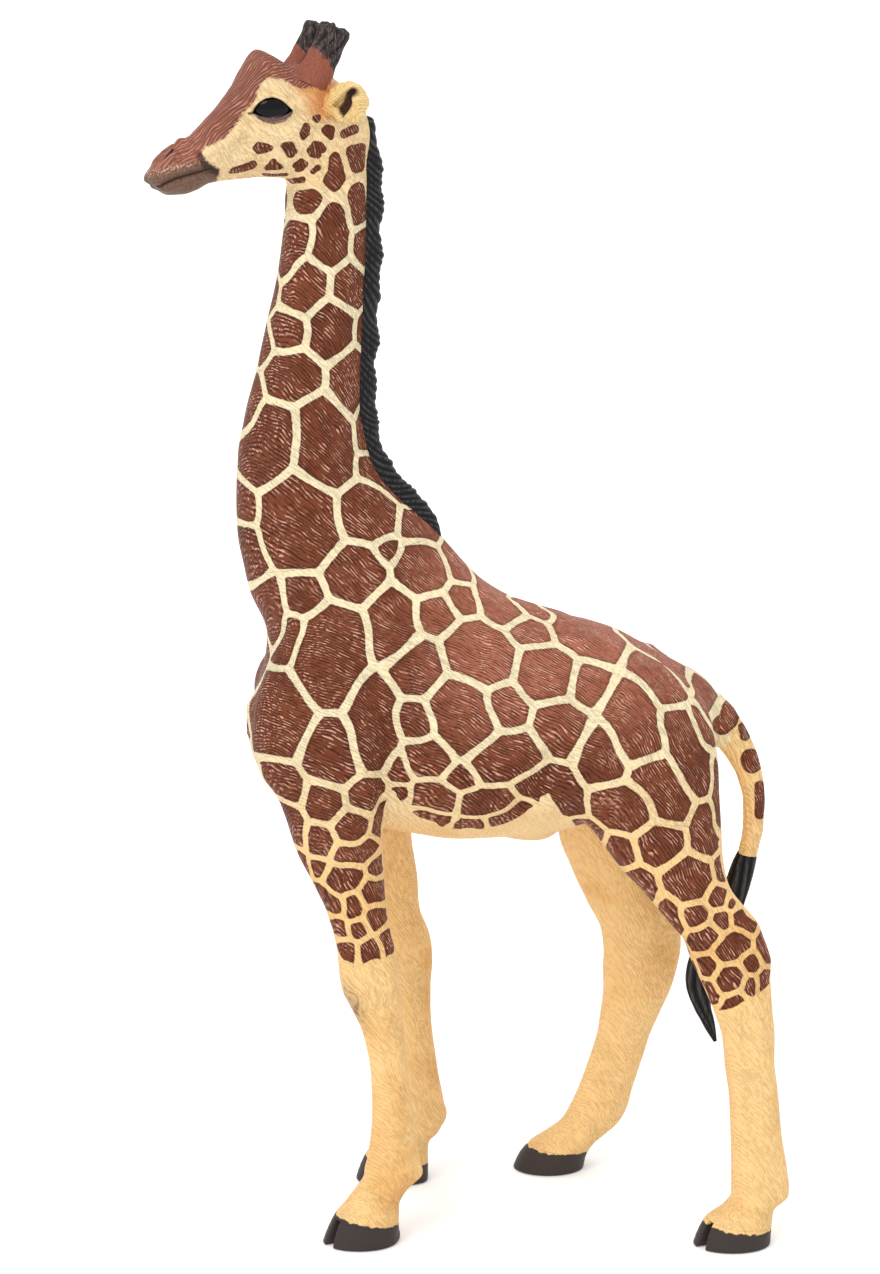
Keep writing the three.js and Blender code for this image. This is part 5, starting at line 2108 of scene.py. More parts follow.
        # Painted shade in the gaps between strands, and a painted highlight on the raised crests.
        highlight_mask = graph.times(graph.ramp(height, 0.35, 0.62), graph.ramp(ridge, 0.7, 1.0))
        shade = graph.tint(graph.mix(ridge, self.strand_gap_shade, self.black), self.strand_highlight, highlight_mask, 0.42)
        return surface.dress(shade, height)

    @cache
    def ossicone(self, finish: Finish) -> bpy.types.Material:
        """Makes the horn's brown base and black brushed tip.

        Args:
            finish: The surface.

        Returns:
            The material.
        """
        surface = Surface(finish, self.effects)
        graph = surface.graph
        height = surface.strands()
        # Raised strands painted lighter and lower ones darker, partly dry-brushed paint and partly painted
        # highlight and shade.
        brown = graph.mix(height, self.horn_low, self.horn_high)
        # Painted shade between the tip's locks, then a painted highlight on its raised hair.
        dark = graph.mix(graph.attribute("ridge"), self.tip_gap_shade, self.tip)
        dark = graph.mix(graph.ramp(height, 0.5, 0.68), dark, self.tip_highlight)
        return surface.dress(graph.mix(surface.edge("tip", 2.0, 0.4), brown, dark), height)

    @cache
    def ear(self, finish: Finish) -> bpy.types.Material:
        """Makes the cream ear with its dark hollow.

        Args:
            finish: The surface.

        Returns:
            The material.
        """
        surface = Surface(finish, self.effects)
        graph = surface.graph
        hair = surface.hair(0.5, 1.6, 0.46)
        height = hair.outputs["Height"]
        # Raised hair painted lighter and lower hair darker, partly dry-brushed paint and partly painted
        # highlight and shade; then painted shade in the grooves.
        shade = graph.mix(height, self.ear_low, self.ear_high)
        shade = graph.tint(shade, self.ear_groove_shade, hair.outputs["Groove"], 0.3)
        shade = graph.tint(shade, self.ear_base, graph.attribute("root"), 0.7)
        return surface.dress(graph.mix(graph.attribute("hollow"), shade, self.ear_hollow), height)

    @cache
    def eye(self, finish: Finish) -> bpy.types.Material:
        """Makes the glossy black eye with a faint brown ring.

        Args:
            finish: The surface.

        Returns:
            The material.
        """
        surface = Surface(finish, self.effects)
        graph = surface.graph
        shade = graph.mix(graph.noise(surface.place, 0.5), self.eye_dark, self.eye_light)
        return surface.dress(graph.mix(graph.attribute("lower"), shade, self.eye_ring))


class Slot(Enum):
    """Material slots of the record."""

    COAT = "coat"
    LEG = "leg"
    EAR = "ear"
    MANE = "mane"
    HOOF = "hoof"
    EYE = "eye"


COAT = Finish("painted_coat", Slot.COAT.value, 0.5, 0.2)
LEG_COAT = Finish("painted_leg_coat", Slot.LEG.value, 0.52, 0.16)
HOOF_COAT = Finish("painted_hoof", Slot.HOOF.value, 0.5, 0.12)
MANE_BLACK = Finish("painted_strands", Slot.MANE.value, 0.42, 0.1)
OSSICONE_TIP = Finish("painted_ossicone", Slot.MANE.value, 0.48, 0.12)
EAR_CREAM = Finish("painted_ear", Slot.EAR.value, 0.55, 0.1)
EYE_GLOSS = Finish("varnished_eye", Slot.EYE.value, 0.12, 0.0, 0.2)
# Finishes of the skin's pieces by the end of their names. The others wear the coat.
SKIN_FINISHES = {"leg": LEG_COAT, "hoof": HOOF_COAT}


def place_piece(item: bpy.types.Object, node: str, finish: Finish, material: bpy.types.Material) -> None:
    """Gives a piece its material, ties it to the frame and reports it.

    Args:
        item: The piece.
        node: CAD node that it stands for.
        finish: The surface.
        material: Its material.
    """
    item.data.materials.clear()
    item.data.materials.append(material)
    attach(item, BODY)
    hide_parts(node)
    LOG.info("%s: %d faces in %s", node, len(item.data.polygons), finish.name)


@dataclass
class SkinPieces:
    """Trunk shells, neck, head, legs and hooves, cast from the skin and cut at their seams."""

    skin: Skin
    pitch: float = 0.35
    head_pitch: float = 0.22
    hoof_pitch: float = 0.2
    gap: float = 0.01
    toe_turn: float = math.radians(24)
    neck_block: tuple[Point, Point] = ((-46.0, -16.0, 118.0), (6.0, 16.0, 204.0))
    head_block: tuple[Point, Point] = ((-61.0, -19.0, 183.0), (-14.0, 10.0, 221.0))
    items: dict[str, bpy.types.Object] = field(default_factory=dict)

    def __post_init__(self) -> None:
        """Places the seams."""
        skin = self.skin
        neck_x = skin.neck.root + NECK_ROWS[4][1] * NECK_LENGTH
        self.neck_seam = (neck_x, 0.0, AXIS_HEIGHT + NECK_SEAM_RISE)
        self.neck_up = Vector((-math.sin(NECK_SEAM_SLOPE), 0.0, math.cos(NECK_SEAM_SLOPE)))
        pivot = skin.head.pivot
        self.head_seam = (pivot[0], 0.0, pivot[2] - HEAD_SEAM_DROP * HEAD_DEPTH)
        self.head_up = Vector((-math.sin(HEAD_SEAM_SLOPE), 0.0, math.cos(HEAD_SEAM_SLOPE)))
        belly = max(row[2] for row in TRUNK_ROWS)
        self.leg_seam = (0.0, 0.0, AXIS_HEIGHT - belly * TRUNK_DEPTH - LEG_SEAM_DROP)

    def _leg_up(self, side: int) -> Vector:
        """Finds the normal of a leg's seam, towards the trunk. Side -1 is the left and 1 the right."""
        return Vector((0.0, -side * math.sin(LEG_SEAM_SLOPE), math.cos(LEG_SEAM_SLOPE)))

    def _make(
        self,
        name: str,
        grid: Grid,
        seams: Sequence[tuple[Point, Vector]],
        ending: str = "_skin",
        distance: Callable[[Array, Array, Array], Array] | None = None,
    ) -> None:
        """Casts a piece and cuts it a hair short of its seams.

        Args:
            name: CAD node name.
            grid: Block that it is cast in.
            seams: A point on each seam, and the seam's normal towards the side that goes.
            ending: What the object's name adds to the node's.
            distance: Field to cast, where it isn't the skin's.
        """
        field = distance or (lambda x, y, z: self.skin.distance(grid, x, y, z))
        piece = Moulding(*cast(grid, field))
        for point, normal in seams:
            piece.cut(tuple(Vector(point) - normal * self.gap), normal)
        piece.keep_largest()
        self.items[name] = piece.finish(name + ending)

    def build(self) -> None:
        """Casts and cuts every piece."""
        self._trunk()
        neck_seams = ((self.neck_seam, -self.neck_up), (self.head_seam, self.head_up))
        self._make("neck", Grid(*self.neck_block, self.pitch, Region.NECK), neck_seams)
        head_seams = ((self.head_seam, -self.head_up),)
        self._make("head", Grid(*self.head_block, self.head_pitch, Region.HEAD), head_seams)
        for leg in self.skin.legs:
            self._leg(leg)

    def dress(self, painter: Painter, paint: Paint) -> None:
        """Paints every piece and ties it to the frame.

        Args:
            painter: Writes the attributes that the paint reads.
            paint: The materials.
        """
        for name, item in self.items.items():
            painter.paint(item)
            finish = next((value for ending, value in SKIN_FINISHES.items() if name.endswith(ending)), COAT)
            place_piece(item, name, finish, paint.coat(finish))

    def _trunk(self) -> None:
        """Casts the two trunk shells."""
        for name, side in (("trunk_left_shell", -1), ("trunk_right_shell", 1)):
            low = (-48.5, -24.0 if side < 0 else -1.0, 66.0)
            high = (52.0, 1.0 if side < 0 else 24.0, 136.0)
            seams = (
                ((0.0, 0.0, 0.0), Vector((0.0, -side, 0.0))),
                (self.neck_seam, self.neck_up),
                (self.leg_seam, -self._leg_up(side)),
            )
            self._make(name, Grid(low, high, self.pitch, Region.LOW), seams)

    def _leg(self, leg: Leg) -> None:
        """Casts one leg and its hoof.

        Args:
            leg: The leg.
        """
        side = leg.plan.side
        heights = np.array([row[0] * AXIS_HEIGHT for row in leg.plan.rows if row[0] < 0.9])
        xs, _ = leg.centre(heights)
        halves = np.array([row[2] * LEG_DEPTH / 2 for row in leg.plan.rows if row[0] < 0.9])
        low_x, high_x = float((xs - halves).min()) - 2, float((xs + halves).max()) + 2
        low_y, high_y = (-31.0, -0.5) if side < 0 else (0.5, 31.0)
        hoof_up = Vector((math.sin(HOOF_SLOPE), 0.0, math.cos(HOOF_SLOPE)))
        middle_x, middle_y = leg.centre(np.array([HOOF_HEIGHT]))
        shoe = (float(middle_x[0]), float(middle_y[0]), HOOF_HEIGHT)
        grid = Grid((low_x, low_y, 1.0), (high_x, high_y, 90.0), self.pitch, Region.LOW)
        self._make(leg.plan.name, grid, ((self.leg_seam, self._leg_up(side)), (shoe, -hoof_up)))

        toe_x, toe_y = leg.toe()
        block = Grid((toe_x - 2, toe_y - 8, -1.0), (toe_x + 20, toe_y + 8, 8.0), self.hoof_pitch, Region.LOW)
        horn = ((shoe, hoof_up),)
        self._make(leg.plan.hoof, block, horn, "_horn", lambda x, y, z: self._hoof(leg, block, x, y, z))

    def _hoof(self, leg: Leg, grid: Grid, x: Array, y: Array, z: Array) -> Array:
        """Measures distance to a hoof, split between its two toes.

        Args:
            leg: The hoof's leg.
            grid: The hoof's block.
            x: X places.
            y: Y places.
            z: Z places.

        Returns:
            Signed distances.
        """
        field = self.skin.distance(grid, x, y, z)
        field = -soft_min(-field, z + 0 * x, 0.5)
        centre_x, centre_y = leg.centre(np.array([0.0]))
        dx, dy = x - float(centre_x[0]), y - float(centre_y[0])
        side = leg.plan.side
        forward = -dx * math.cos(self.toe_turn) + dy * side * math.sin(self.toe_turn)
        aside = dx * math.sin(self.toe_turn) + dy * side * math.cos(self.toe_turn)
        groove = np.minimum(0.28 + 0.1 * np.maximum(forward, 0) - np.abs(aside), forward - 1.0)
        field = -soft_min(-field, -groove + 0 * z, 0.5)
        growth = 0.02 * np.sin(z * 5.2 + 0.35 * forward) * smooth_step(0.4, 1.2, z)
        return (field + growth).astype(np.float32)


def nearness(columns: Sequence[Array], line: Sequence[Pixel], full: float, fade: float) -> Array:
    """Finds how near pixels lie to a brushed line: 1 within full pixels of it, and 0 beyond fade pixels."""
    return 1 - smooth_step(full, fade, segment_distance(columns, line))


class Painter:
    """Writes the attributes that the coat material reads."""

    head_from = 187
    muzzle_end = 222
    calm_nose: Limits = (216.0, 196.0)
    warm_legs: Limits = (100.0, 66.0)
    warm_head: Limits = (186.0, 196.0)
    # Heights and X over which the top of the back is painted lighter, as painted light from above.
    sun_height: Limits = (89.0, 110.0)
    sun_reach: Limits = (-18.0, 4.0)
    neck_hair: Limits = (112.0, 130.0)
    rump_hair: Limits = (18.0, 32.0)
    leg_hair: Limits = (82.0, 70.0)

    def __init__(self, skin: Skin, view: View, coat: Coat) -> None:
        """Keeps what the attributes are worked out from.

        Args:
            skin: The skin's field.
            view: The photograph's camera.
            coat: The coat patches.
        """
        self.skin = skin
        self.view = view
        self.coat = coat

    def paint(self, item: bpy.types.Object) -> None:
        """Paints one piece of skin.

        Args:
            item: The piece.
        """
        places = places_of(item)
        x, y, z = places.T
        patch, tone = self.coat.paint(places)
        patch = np.minimum(patch, self._coat_limit(x, y, z))
        beside = self.view.project_near(x, y, z)
        belly = mask_distance(beside, BELLY_EDGE) / self.coat.pixel_scale
        patch = np.where((z < 90) & (x > -20), np.minimum(patch, -belly), patch)
        if "trunk" in item.name:
            patch = self._tail_start(patch, beside, x, y, z)
        written = {
            "patch": patch,
            "tone": tone,
            **self._face(x, y, z),
            "warm": np.maximum(smooth_step(*self.warm_legs, z), 0.5 * smooth_step(*self.warm_head, z)),
            # Painted light from above: the brown of the top of the back and rump is painted lighter.
            "sun": 0.9 * smooth_step(*self.sun_height, z) * smooth_step(*self.sun_reach, x),
            "flow_neck": smooth_step(*self.neck_hair, z),
            "flow_limb": np.maximum(smooth_step(*self.rump_hair, x), smooth_step(*self.leg_hair, z)),
            "horn": self._horn(x, y, z),
            "smudge": self._smudge(x, y, z),
        }
        for name, values in written.items():
            set_attribute(item, name, values)

    def _face(self, x: Array, y: Array, z: Array) -> dict[str, Array]:
        """Works out the marks of the head: mask, dark lines, muzzle, lower lid and the orange by the ears.

        Args:
            x: X places.
            y: Y places.
            z: Z places.

        Returns:
            Values of each attribute.
        """
        ahead, across, up = self.skin.head.local(x, y, z)
        left_side = self.skin.head.world(ahead, -np.abs(across), up)
        pixels = self.view.project(np.stack(left_side, axis=1))
        columns = [pixels[:, 0].astype(np.float32), pixels[:, 1].astype(np.float32)]
        on_head = z > self.head_from
        face = np.where(on_head, mask_distance(pixels, FACE_MASK) / self.coat.pixel_scale, -9.0)
        fleck = 0.5 + 0.5 * np.sin(columns[0] * 1.3 + columns[1] * 0.7) * np.sin(columns[1] * 1.9)
        marks = [share * nearness(columns, line, full, fade) for line, share, full, fade in DARK_LINES]
        marks.append(0.7 * nearness(columns, MOUTH_CORNER, 3.0, 7.0) * smooth_step(-0.1, 0.25, face))
        marks.append(0.8 * nearness(columns, MASK_FLECKS, 1.0, 4.5) * smooth_step(0.45, 0.8, fleck))
        dark = np.where(on_head & (np.abs(across) > 0.8), np.maximum.reduce(marks), 0.0)
        nostril = nearness(columns, NOSTRIL, 1.9, 3.3) * on_head * (np.abs(across) > 0.2)
        below = columns[1] - np.interp(columns[0], *np.array(LIP_LINE).T)
        return {
            "face": face,
            "dark": np.maximum(dark, nostril),
            "muzzle": smooth_step(-6.0, 5.0, below) * (columns[0] < self.muzzle_end) * on_head,
            "calm": smooth_step(*self.calm_nose, columns[0]) * on_head,
            "lid": nearness(columns, LOWER_LID, 1.8, 2.8) * on_head,
            "orange": np.where(on_head & (face < 0.5), nearness(columns, EAR_ROOT, 6.0, 26.0), 0.0),
        }

    def _tail_start(self, patch: Array, pixels: Array, x: Array, y: Array, z: Array) -> Array:
        """Ends the rump's coat at the tail, and starts the tail's own patches.

        Args:
            patch: Millimetres inside the coat's patches.
            pixels: Pixels of the places, one a row.
            x: X places.
            y: Y places.
            z: Z places.

        Returns:
            Millimetres inside a patch.
        """
        zone = mask_distance(pixels, TAIL_ZONE) / self.coat.pixel_scale
        own = np.minimum(tail_patches(pixels), zone - 0.4)
        joined = np.where(zone > 0, own, np.minimum(patch, -zone - 0.4))
        return np.where((x > 40) & (z > 78) & (z < 104) & (np.abs(y) < 9), joined, patch)

    def _coat_limit(self, x: Array, y: Array, z: Array) -> Array:
        """Measures millimetres inside the part of the skin that carries patches: not below the knees, and
        not on the inner sides of the legs.

        Args:
            x: X places.
            y: Y places.
            z: Z places.

        Returns:
            Millimetres, below zero where the skin is plain.
        """
        limit = np.full(len(x), 9.0)
        for leg in self.skin.legs:
            fore = leg.plan.stance == FORE_STANCE
            same = (y * leg.plan.side > 0) & ((x < 0) == fore) & (z < 84)
            middle_x, middle_y = leg.centre(z)
            bottom = 51.5 if fore else 46.5 + 0.45 * (x - middle_x)
            inward = 1.6 if leg.plan.side < 0 else 0.2
            flare_from = 60 if leg.plan.side < 0 else 72
            outer = (y - middle_y) * leg.plan.side + inward + 0.3 * np.maximum(z - flare_from, 0)
            edge = np.minimum(z - bottom, outer)
            limit = np.where(same, np.minimum(limit, edge), limit)
        return limit

    def _horn(self, x: Array, y: Array, z: Array) -> Array:
        """Measures millimetres below the painted top edge of the hooves.

        Args:
            x: X places.
            y: Y places.
            z: Z places.

        Returns:
            Millimetres, above zero on the hoof.
        """
        best = np.full(len(x), -9.0)
        for leg, (toe_top, heel_top) in zip(self.skin.legs, HOOF_TOPS):
            toe_x, toe_y = leg.toe()
            near = (np.abs(y - toe_y) < 9) & (x > toe_x - 3) & (x < toe_x + 22)
            back = np.clip((x - toe_x) / 13.0, 0, 1.1)
            top = toe_top + (heel_top - toe_top) * back
            best = np.where(near, np.maximum(best, top - z), best)
        return best

    def _smudge(self, x: Array, y: Array, z: Array) -> Array:
        """Finds the grey brush mark on the front of the fore knees.

        Args:
            x: X places.
            y: Y places.
            z: Z places.

        Returns:
            Shares between 0 and 1.
        """
        best = np.zeros(len(x))
        for leg in self.skin.legs[:2]:
            middle_x, middle_y = leg.centre(z)
            ahead = middle_x - x
            level = np.exp(-(((z - 45.5) / 4.4) ** 2))
            best = np.maximum(best, smooth_step(0.8, 4.2, ahead) * level * (np.abs(y - middle_y) < 7))
        return best


class Tube:
    """Closed tube through rings of points."""

    def __init__(self, rings: Array) -> None:
        """Joins the rings.

        Args:
            rings: Points shaped ring, side, axis, in millimetres.
        """
        count, sides, _ = rings.shape
        points = rings.reshape(-1, 3)
        ends = np.stack([rings[0].mean(axis=0), rings[-1].mean(axis=0)])
        self.points = np.concatenate([points, ends])
        faces = []
        for ring in range(count - 1):
            for side in range(sides):
                a = ring * sides + side
                b = ring * sides + (side + 1) % sides
                faces.append((a, b, b + sides, a + sides))
        caps = []
        last = (count - 1) * sides
        for side in range(sides):
            following = (side + 1) % sides
            caps.append((following, side, count * sides))
            caps.append((last + side, last + following, count * sides + 1))
        self.faces = faces + caps

    def finish(self, name: str) -> bpy.types.Object:
        """Makes the object, in metres, with its faces pointing out.

        Args:
            name: Object name.

        Returns:
            The object.
        """
        mesh = bpy.data.meshes.new(name)
        mesh.from_pydata((self.points * MM).tolist(), [], self.faces)
        shell = bmesh.new()
        shell.from_mesh(mesh)
        bmesh.ops.recalc_face_normals(shell, faces=shell.faces)
        if shell.calc_volume(signed=True) < 0:
            bmesh.ops.reverse_faces(shell, faces=shell.faces)
        shell.to_mesh(mesh)
        shell.free()
        mesh.shade_smooth()
        return add_object(name, mesh)


def around(sides: int) -> Array:
    """Lists even angles once round, as one row."""
    return np.linspace(0, 2 * math.pi, sides, endpoint=False)[None, :]


def with_ends(values: Array, ends: Sequence[float]) -> Array:
    """Lists a tube's values point by point, and those of its two end points."""
    return np.concatenate([values.ravel(), ends])


def rings_along(samples: Array, outward: Array, reach: Array, aside: Array) -> Array:
    """Lays rings of points about a path in the mid plane.

    Args:
        samples: Points of the path, X and Z first.
        outward: Unit directions square to the path.
        reach: Millimetres in those directions, ring by side.
        aside: Millimetres off the mid plane, ring by side.

    Returns:
        Points shaped ring, side, axis.
    """
    x = samples[:, :1] + outward[:, :1] * reach
    z = samples[:, 1:2] + outward[:, 1:2] * reach
    return np.stack([x, aside, z], axis=2)


def rings_by_axes(base: Array, axes: Sequence[Array], reaches: Sequence[Array]) -> Array:
    """Lays rings of points, shaped ring, side, axis, by their reach from a base along three axes."""
    return base + sum(reach[..., None] * axis for axis, reach in zip(axes, reaches))


def path_frames(corners: Array, count: int) -> tuple[Array, Array, float]:
    """Samples a path in the mid plane at even steps.

    Args:
        corners: X and Z of its corners, with any further columns carried along.
        count: How many samples.

    Returns:
        Samples, unit directions square to the path, and its length.
    """
    steps = np.hypot(np.diff(corners[:, 0]), np.diff(corners[:, 1]))
    along = np.concatenate(([0.0], np.cumsum(steps)))
    places = np.linspace(0, along[-1], count)
    columns = []
    for column in range(corners.shape[1]):
        rows = tuple(zip(along.tolist(), corners[:, column].tolist()))
        columns.append(Curve(rows).at(places, 1).astype(np.float64))
    samples = np.stack(columns, axis=1)
    run = np.gradient(samples[:, :2], axis=0)
    run /= np.linalg.norm(run, axis=1, keepdims=True)
    return samples, np.stack([run[:, 1], -run[:, 0]], axis=1), float(along[-1])


@dataclass(frozen=True)
class Mane:
    """Strip of short black strands down the back of the neck."""

    sides: int = 48
    step: float = 0.19
    strand: float = 1.5
    lean: float = 3.4
    bed: float = 1.7
    half_width: float = 2.5

    def build(self, neck: Neck, paint: Paint) -> None:
        """Builds the strip.

        Args:
            neck: The neck that it grows from.
            paint: The materials.
        """
        foot = MANE_FOOT[0]
        skin = [(neck.root + MANE_FOOT[1] * NECK_LENGTH, 0.0, AXIS_HEIGHT + foot * NECK_LENGTH)]
        skin += [neck.back(row[0]) for row in NECK_ROWS if MANE_FROM < row[0] < 1]
        skin += [
            (neck.root + back * NECK_LENGTH, 0.0, AXIS_HEIGHT + rise * NECK_LENGTH) for rise, back in MANE_TOP
        ]
        corners = np.array([(p[0], p[2]) for p in skin])
        count = int(np.hypot(*np.diff(corners, axis=0).T).sum() / self.step)
        samples, outward, length = path_frames(corners, count)
        along = np.linspace(0, length, count)[:, None]
        turn = around(self.sides)
        lift = (np.cos(turn) + 1) / 2
        sideways = np.sin(turn)
        wander = 0.7 * np.sin(along / 5.3) + 0.5 * np.sin(along / 2.3 + 1.3)
        swell = 0.22 * np.sin(along / 1.25) + 0.2 * np.sin(along / 2.1 + 0.8)
        swept = -self.lean * MANE_PROUD * (1 - lift) * 0.6 + 0.8 * sideways + wander
        phase = (along + swept) / self.strand
        cell = phase - np.floor(phase)
        uneven = 0.5 + 0.5 * np.sin(np.floor(phase) * 2.4) * np.cos(np.floor(phase) * 5.1)
        ridge = np.sin(math.pi * cell) ** 0.6 * smooth_step(0.05, 0.4, lift)
        foot_end = np.clip(along / 6.0, 0, 1) ** 0.8
        top_end = np.clip((length - along) / 3.0, 0, 1) ** 0.5
        end = np.minimum(foot_end, top_end)
        tips = ((0.15 + 0.35 * uneven) * ridge + swell) * smooth_step(0.4, 1.0, lift)
        height = -self.bed + (MANE_PROUD + self.bed) * lift**1.5 * 0.88
        reach = (height + tips) * end + (end - 1) * self.bed * 0.6
        half = self.half_width * (0.93 + 0.12 * ridge) * (0.3 + 0.7 * end)
        aside = sideways * half + 0.18 * np.sin(along / 2.1) * lift
        item = Tube(rings_along(samples, outward, reach, aside)).finish("mane_strands")
        set_attribute(item, "ridge", with_ends(ridge, [0.5, 0.5]))
        place_piece(item, "mane", MANE_BLACK, paint.strands(MANE_BLACK))


@dataclass(frozen=True)
class Tail:
    """Haired dock and black tuft."""

    dock_rings: int = 170
    dock_sides: int = 48
    tuft_rings: int = 240
    tuft_sides: int = 84
    dock_flatness: float = 0.92
    tuft_flatness: float = 0.82

    def build(self, path: TailPath, view: View, paint: Paint) -> None:
        """Builds the dock and the tuft."""
        self._dock(path.dock[1:], view, paint)
        self._tuft(path.tuft, paint)

    def _dock(self, corners: Array, view: View, paint: Paint) -> None:
        """Builds the dock.

        Args:
            corners: X, Z and thickness down the dock.
            view: The photograph's camera.
            paint: The materials.
        """
        samples, outward, length = path_frames(corners, self.dock_rings)
        turn = around(self.dock_sides)
        along = np.linspace(0, length, self.dock_rings)[:, None]
        grain = 0.05 * np.sin(turn * 11 + along * 0.5) + 0.04 * np.sin(turn * 17 - along * 0.9)
        half = samples[:, 2:3] / 2 + grain
        rings = rings_along(samples, outward, half * np.cos(turn), half * np.sin(turn) * self.dock_flatness)
        item = Tube(rings).finish("tail_skin")
        places = places_of(item)
        set_attribute(item, "patch", tail_patches(view.project_near(*places.T)))
        for name, value in (("warm", 0.9), ("flow_limb", 1.0), ("face", -9.0), ("horn", -9.0)):
            set_attribute(item, name, np.full(len(places), value))
        place_piece(item, "tail", COAT, paint.coat(COAT))

    def _tuft(self, corners: Array, paint: Paint) -> None:
        """Builds the tuft, a bundle of locks that narrows to a point.

        Args:
            corners: X, Z and thickness down the tuft.
            paint: The materials.
        """
        samples, outward, _ = path_frames(corners, self.tuft_rings)
        turn = around(self.tuft_sides)
        along = np.linspace(0, 1, self.tuft_rings)[:, None]
        phase = turn * 8 / (2 * math.pi) + 1.5 * along + 0.3 * np.sin(along * 8)
        ridge = np.abs(np.cos(math.pi * phase)) ** 0.7
        fine = 0.06 * np.sin(turn * 24 + along * 16)
        swell = 1 + 0.07 * np.sin(along * 21 + 2 * turn)
        half = samples[:, 2:3] / 2 * swell * (0.84 + 0.24 * ridge) + fine * smooth_step(0, 0.2, along)
        half = np.maximum(half, 0.1)
        rings = rings_along(samples, outward, half * np.cos(turn), half * np.sin(turn) * self.tuft_flatness)
        item = Tube(rings).finish("tail_tuft_strands")
        set_attribute(item, "ridge", with_ends(ridge, [0.5, 0.5]))
        place_piece(item, "tail_tuft", MANE_BLACK, paint.strands(MANE_BLACK))


@dataclass(frozen=True)
class Ossicones:
    """The two short horns, haired black from less than half way up."""

    paint_from: float = 0.43
    flare: float = 0.45
    ring_count: int = 110
    sides: int = 96
    rows: Rows = (
        (0, 1.3),
        (0.2, 1.2),
        (0.45, 1.02),
        (0.7, 0.96),
        (0.9, 1.04),
        (0.96, 0.98),
        (1, 0.62),
    )

    def build(self, head: Head, paint: Paint) -> None:
        """Builds both horns."""
        for name, side in (("left_ossicone", -1), ("right_ossicone", 1)):
            self._horn(name, side, head, paint)

    def _horn(self, name: str, side: int, head: Head, paint: Paint) -> None:
        """Builds one horn.

        Args:
            name: CAD node name.
            side: -1 on the left and 1 on the right.
            head: The head.
            paint: The materials.
        """
        base, axis = head.horn_place(side)
        sideways = np.cross(axis, np.array(head.direction(1, 0, 0)))
        sideways /= np.linalg.norm(sideways)
        ahead = np.cross(sideways, axis)
        along = np.linspace(0, 1, self.ring_count)[:, None]
        turn = around(self.sides)
        thick = Curve(self.rows).at(along[:, 0], 1)[:, None].astype(np.float64)
        tip = smooth_step(self.paint_from - 0.06, self.paint_from + 0.1, along)
        phase = turn * 9 / (2 * math.pi) + 0.5 * np.sin(along * 7 + side)
        lock = np.floor(phase)
        ridge = np.abs(np.cos(math.pi * (phase - 0.5))) ** 0.6
        uneven = 0.5 + 0.5 * np.sin(lock * 2.9 + side)
        radius = 1.06 * OSSICONE_RADIUS * thick * (1 + (0.16 * ridge - 0.08) * tip + 0.02 * np.sin(turn * 31))
        crown = smooth_step(0.84, 1.0, along)
        bend = -self.flare * (1 - along) ** 2
        lift = (0.75 * uneven * ridge - 0.55) * crown
        reaches = (
            along * (OSSICONE_LENGTH - 0.2) + lift,
            radius * np.cos(turn) + bend,
            radius * np.sin(turn),
        )
        item = Tube(rings_by_axes(base, (axis, ahead, sideways), reaches)).finish(name + "_horn")
        set_attribute(item, "ridge", with_ends(ridge + 0 * along, [0.5, 0.1]))
        slant = -0.12 * np.cos(turn)
        inside = (along - self.paint_from - slant) * OSSICONE_LENGTH
        set_attribute(item, "tip", with_ends(inside, [-5.0, 5.0]))
        place_piece(item, name, OSSICONE_TIP, paint.ossicone(OSSICONE_TIP))


@dataclass(frozen=True)
class EarFrame:
    """An ear's base and its axes: along the ear, up the ear, and out of its cup."""

    base: Array
    axes: tuple[Array, Array, Array]

    def local(self, x: Array, y: Array, z: Array) -> tuple[Array, Array, Array]:
        """Turns places in the frame into millimetres along the ear, up it and out of its cup."""
        offset = (x - self.base[0], y - self.base[1], z - self.base[2])
        return parts_along(offset, self.axes)


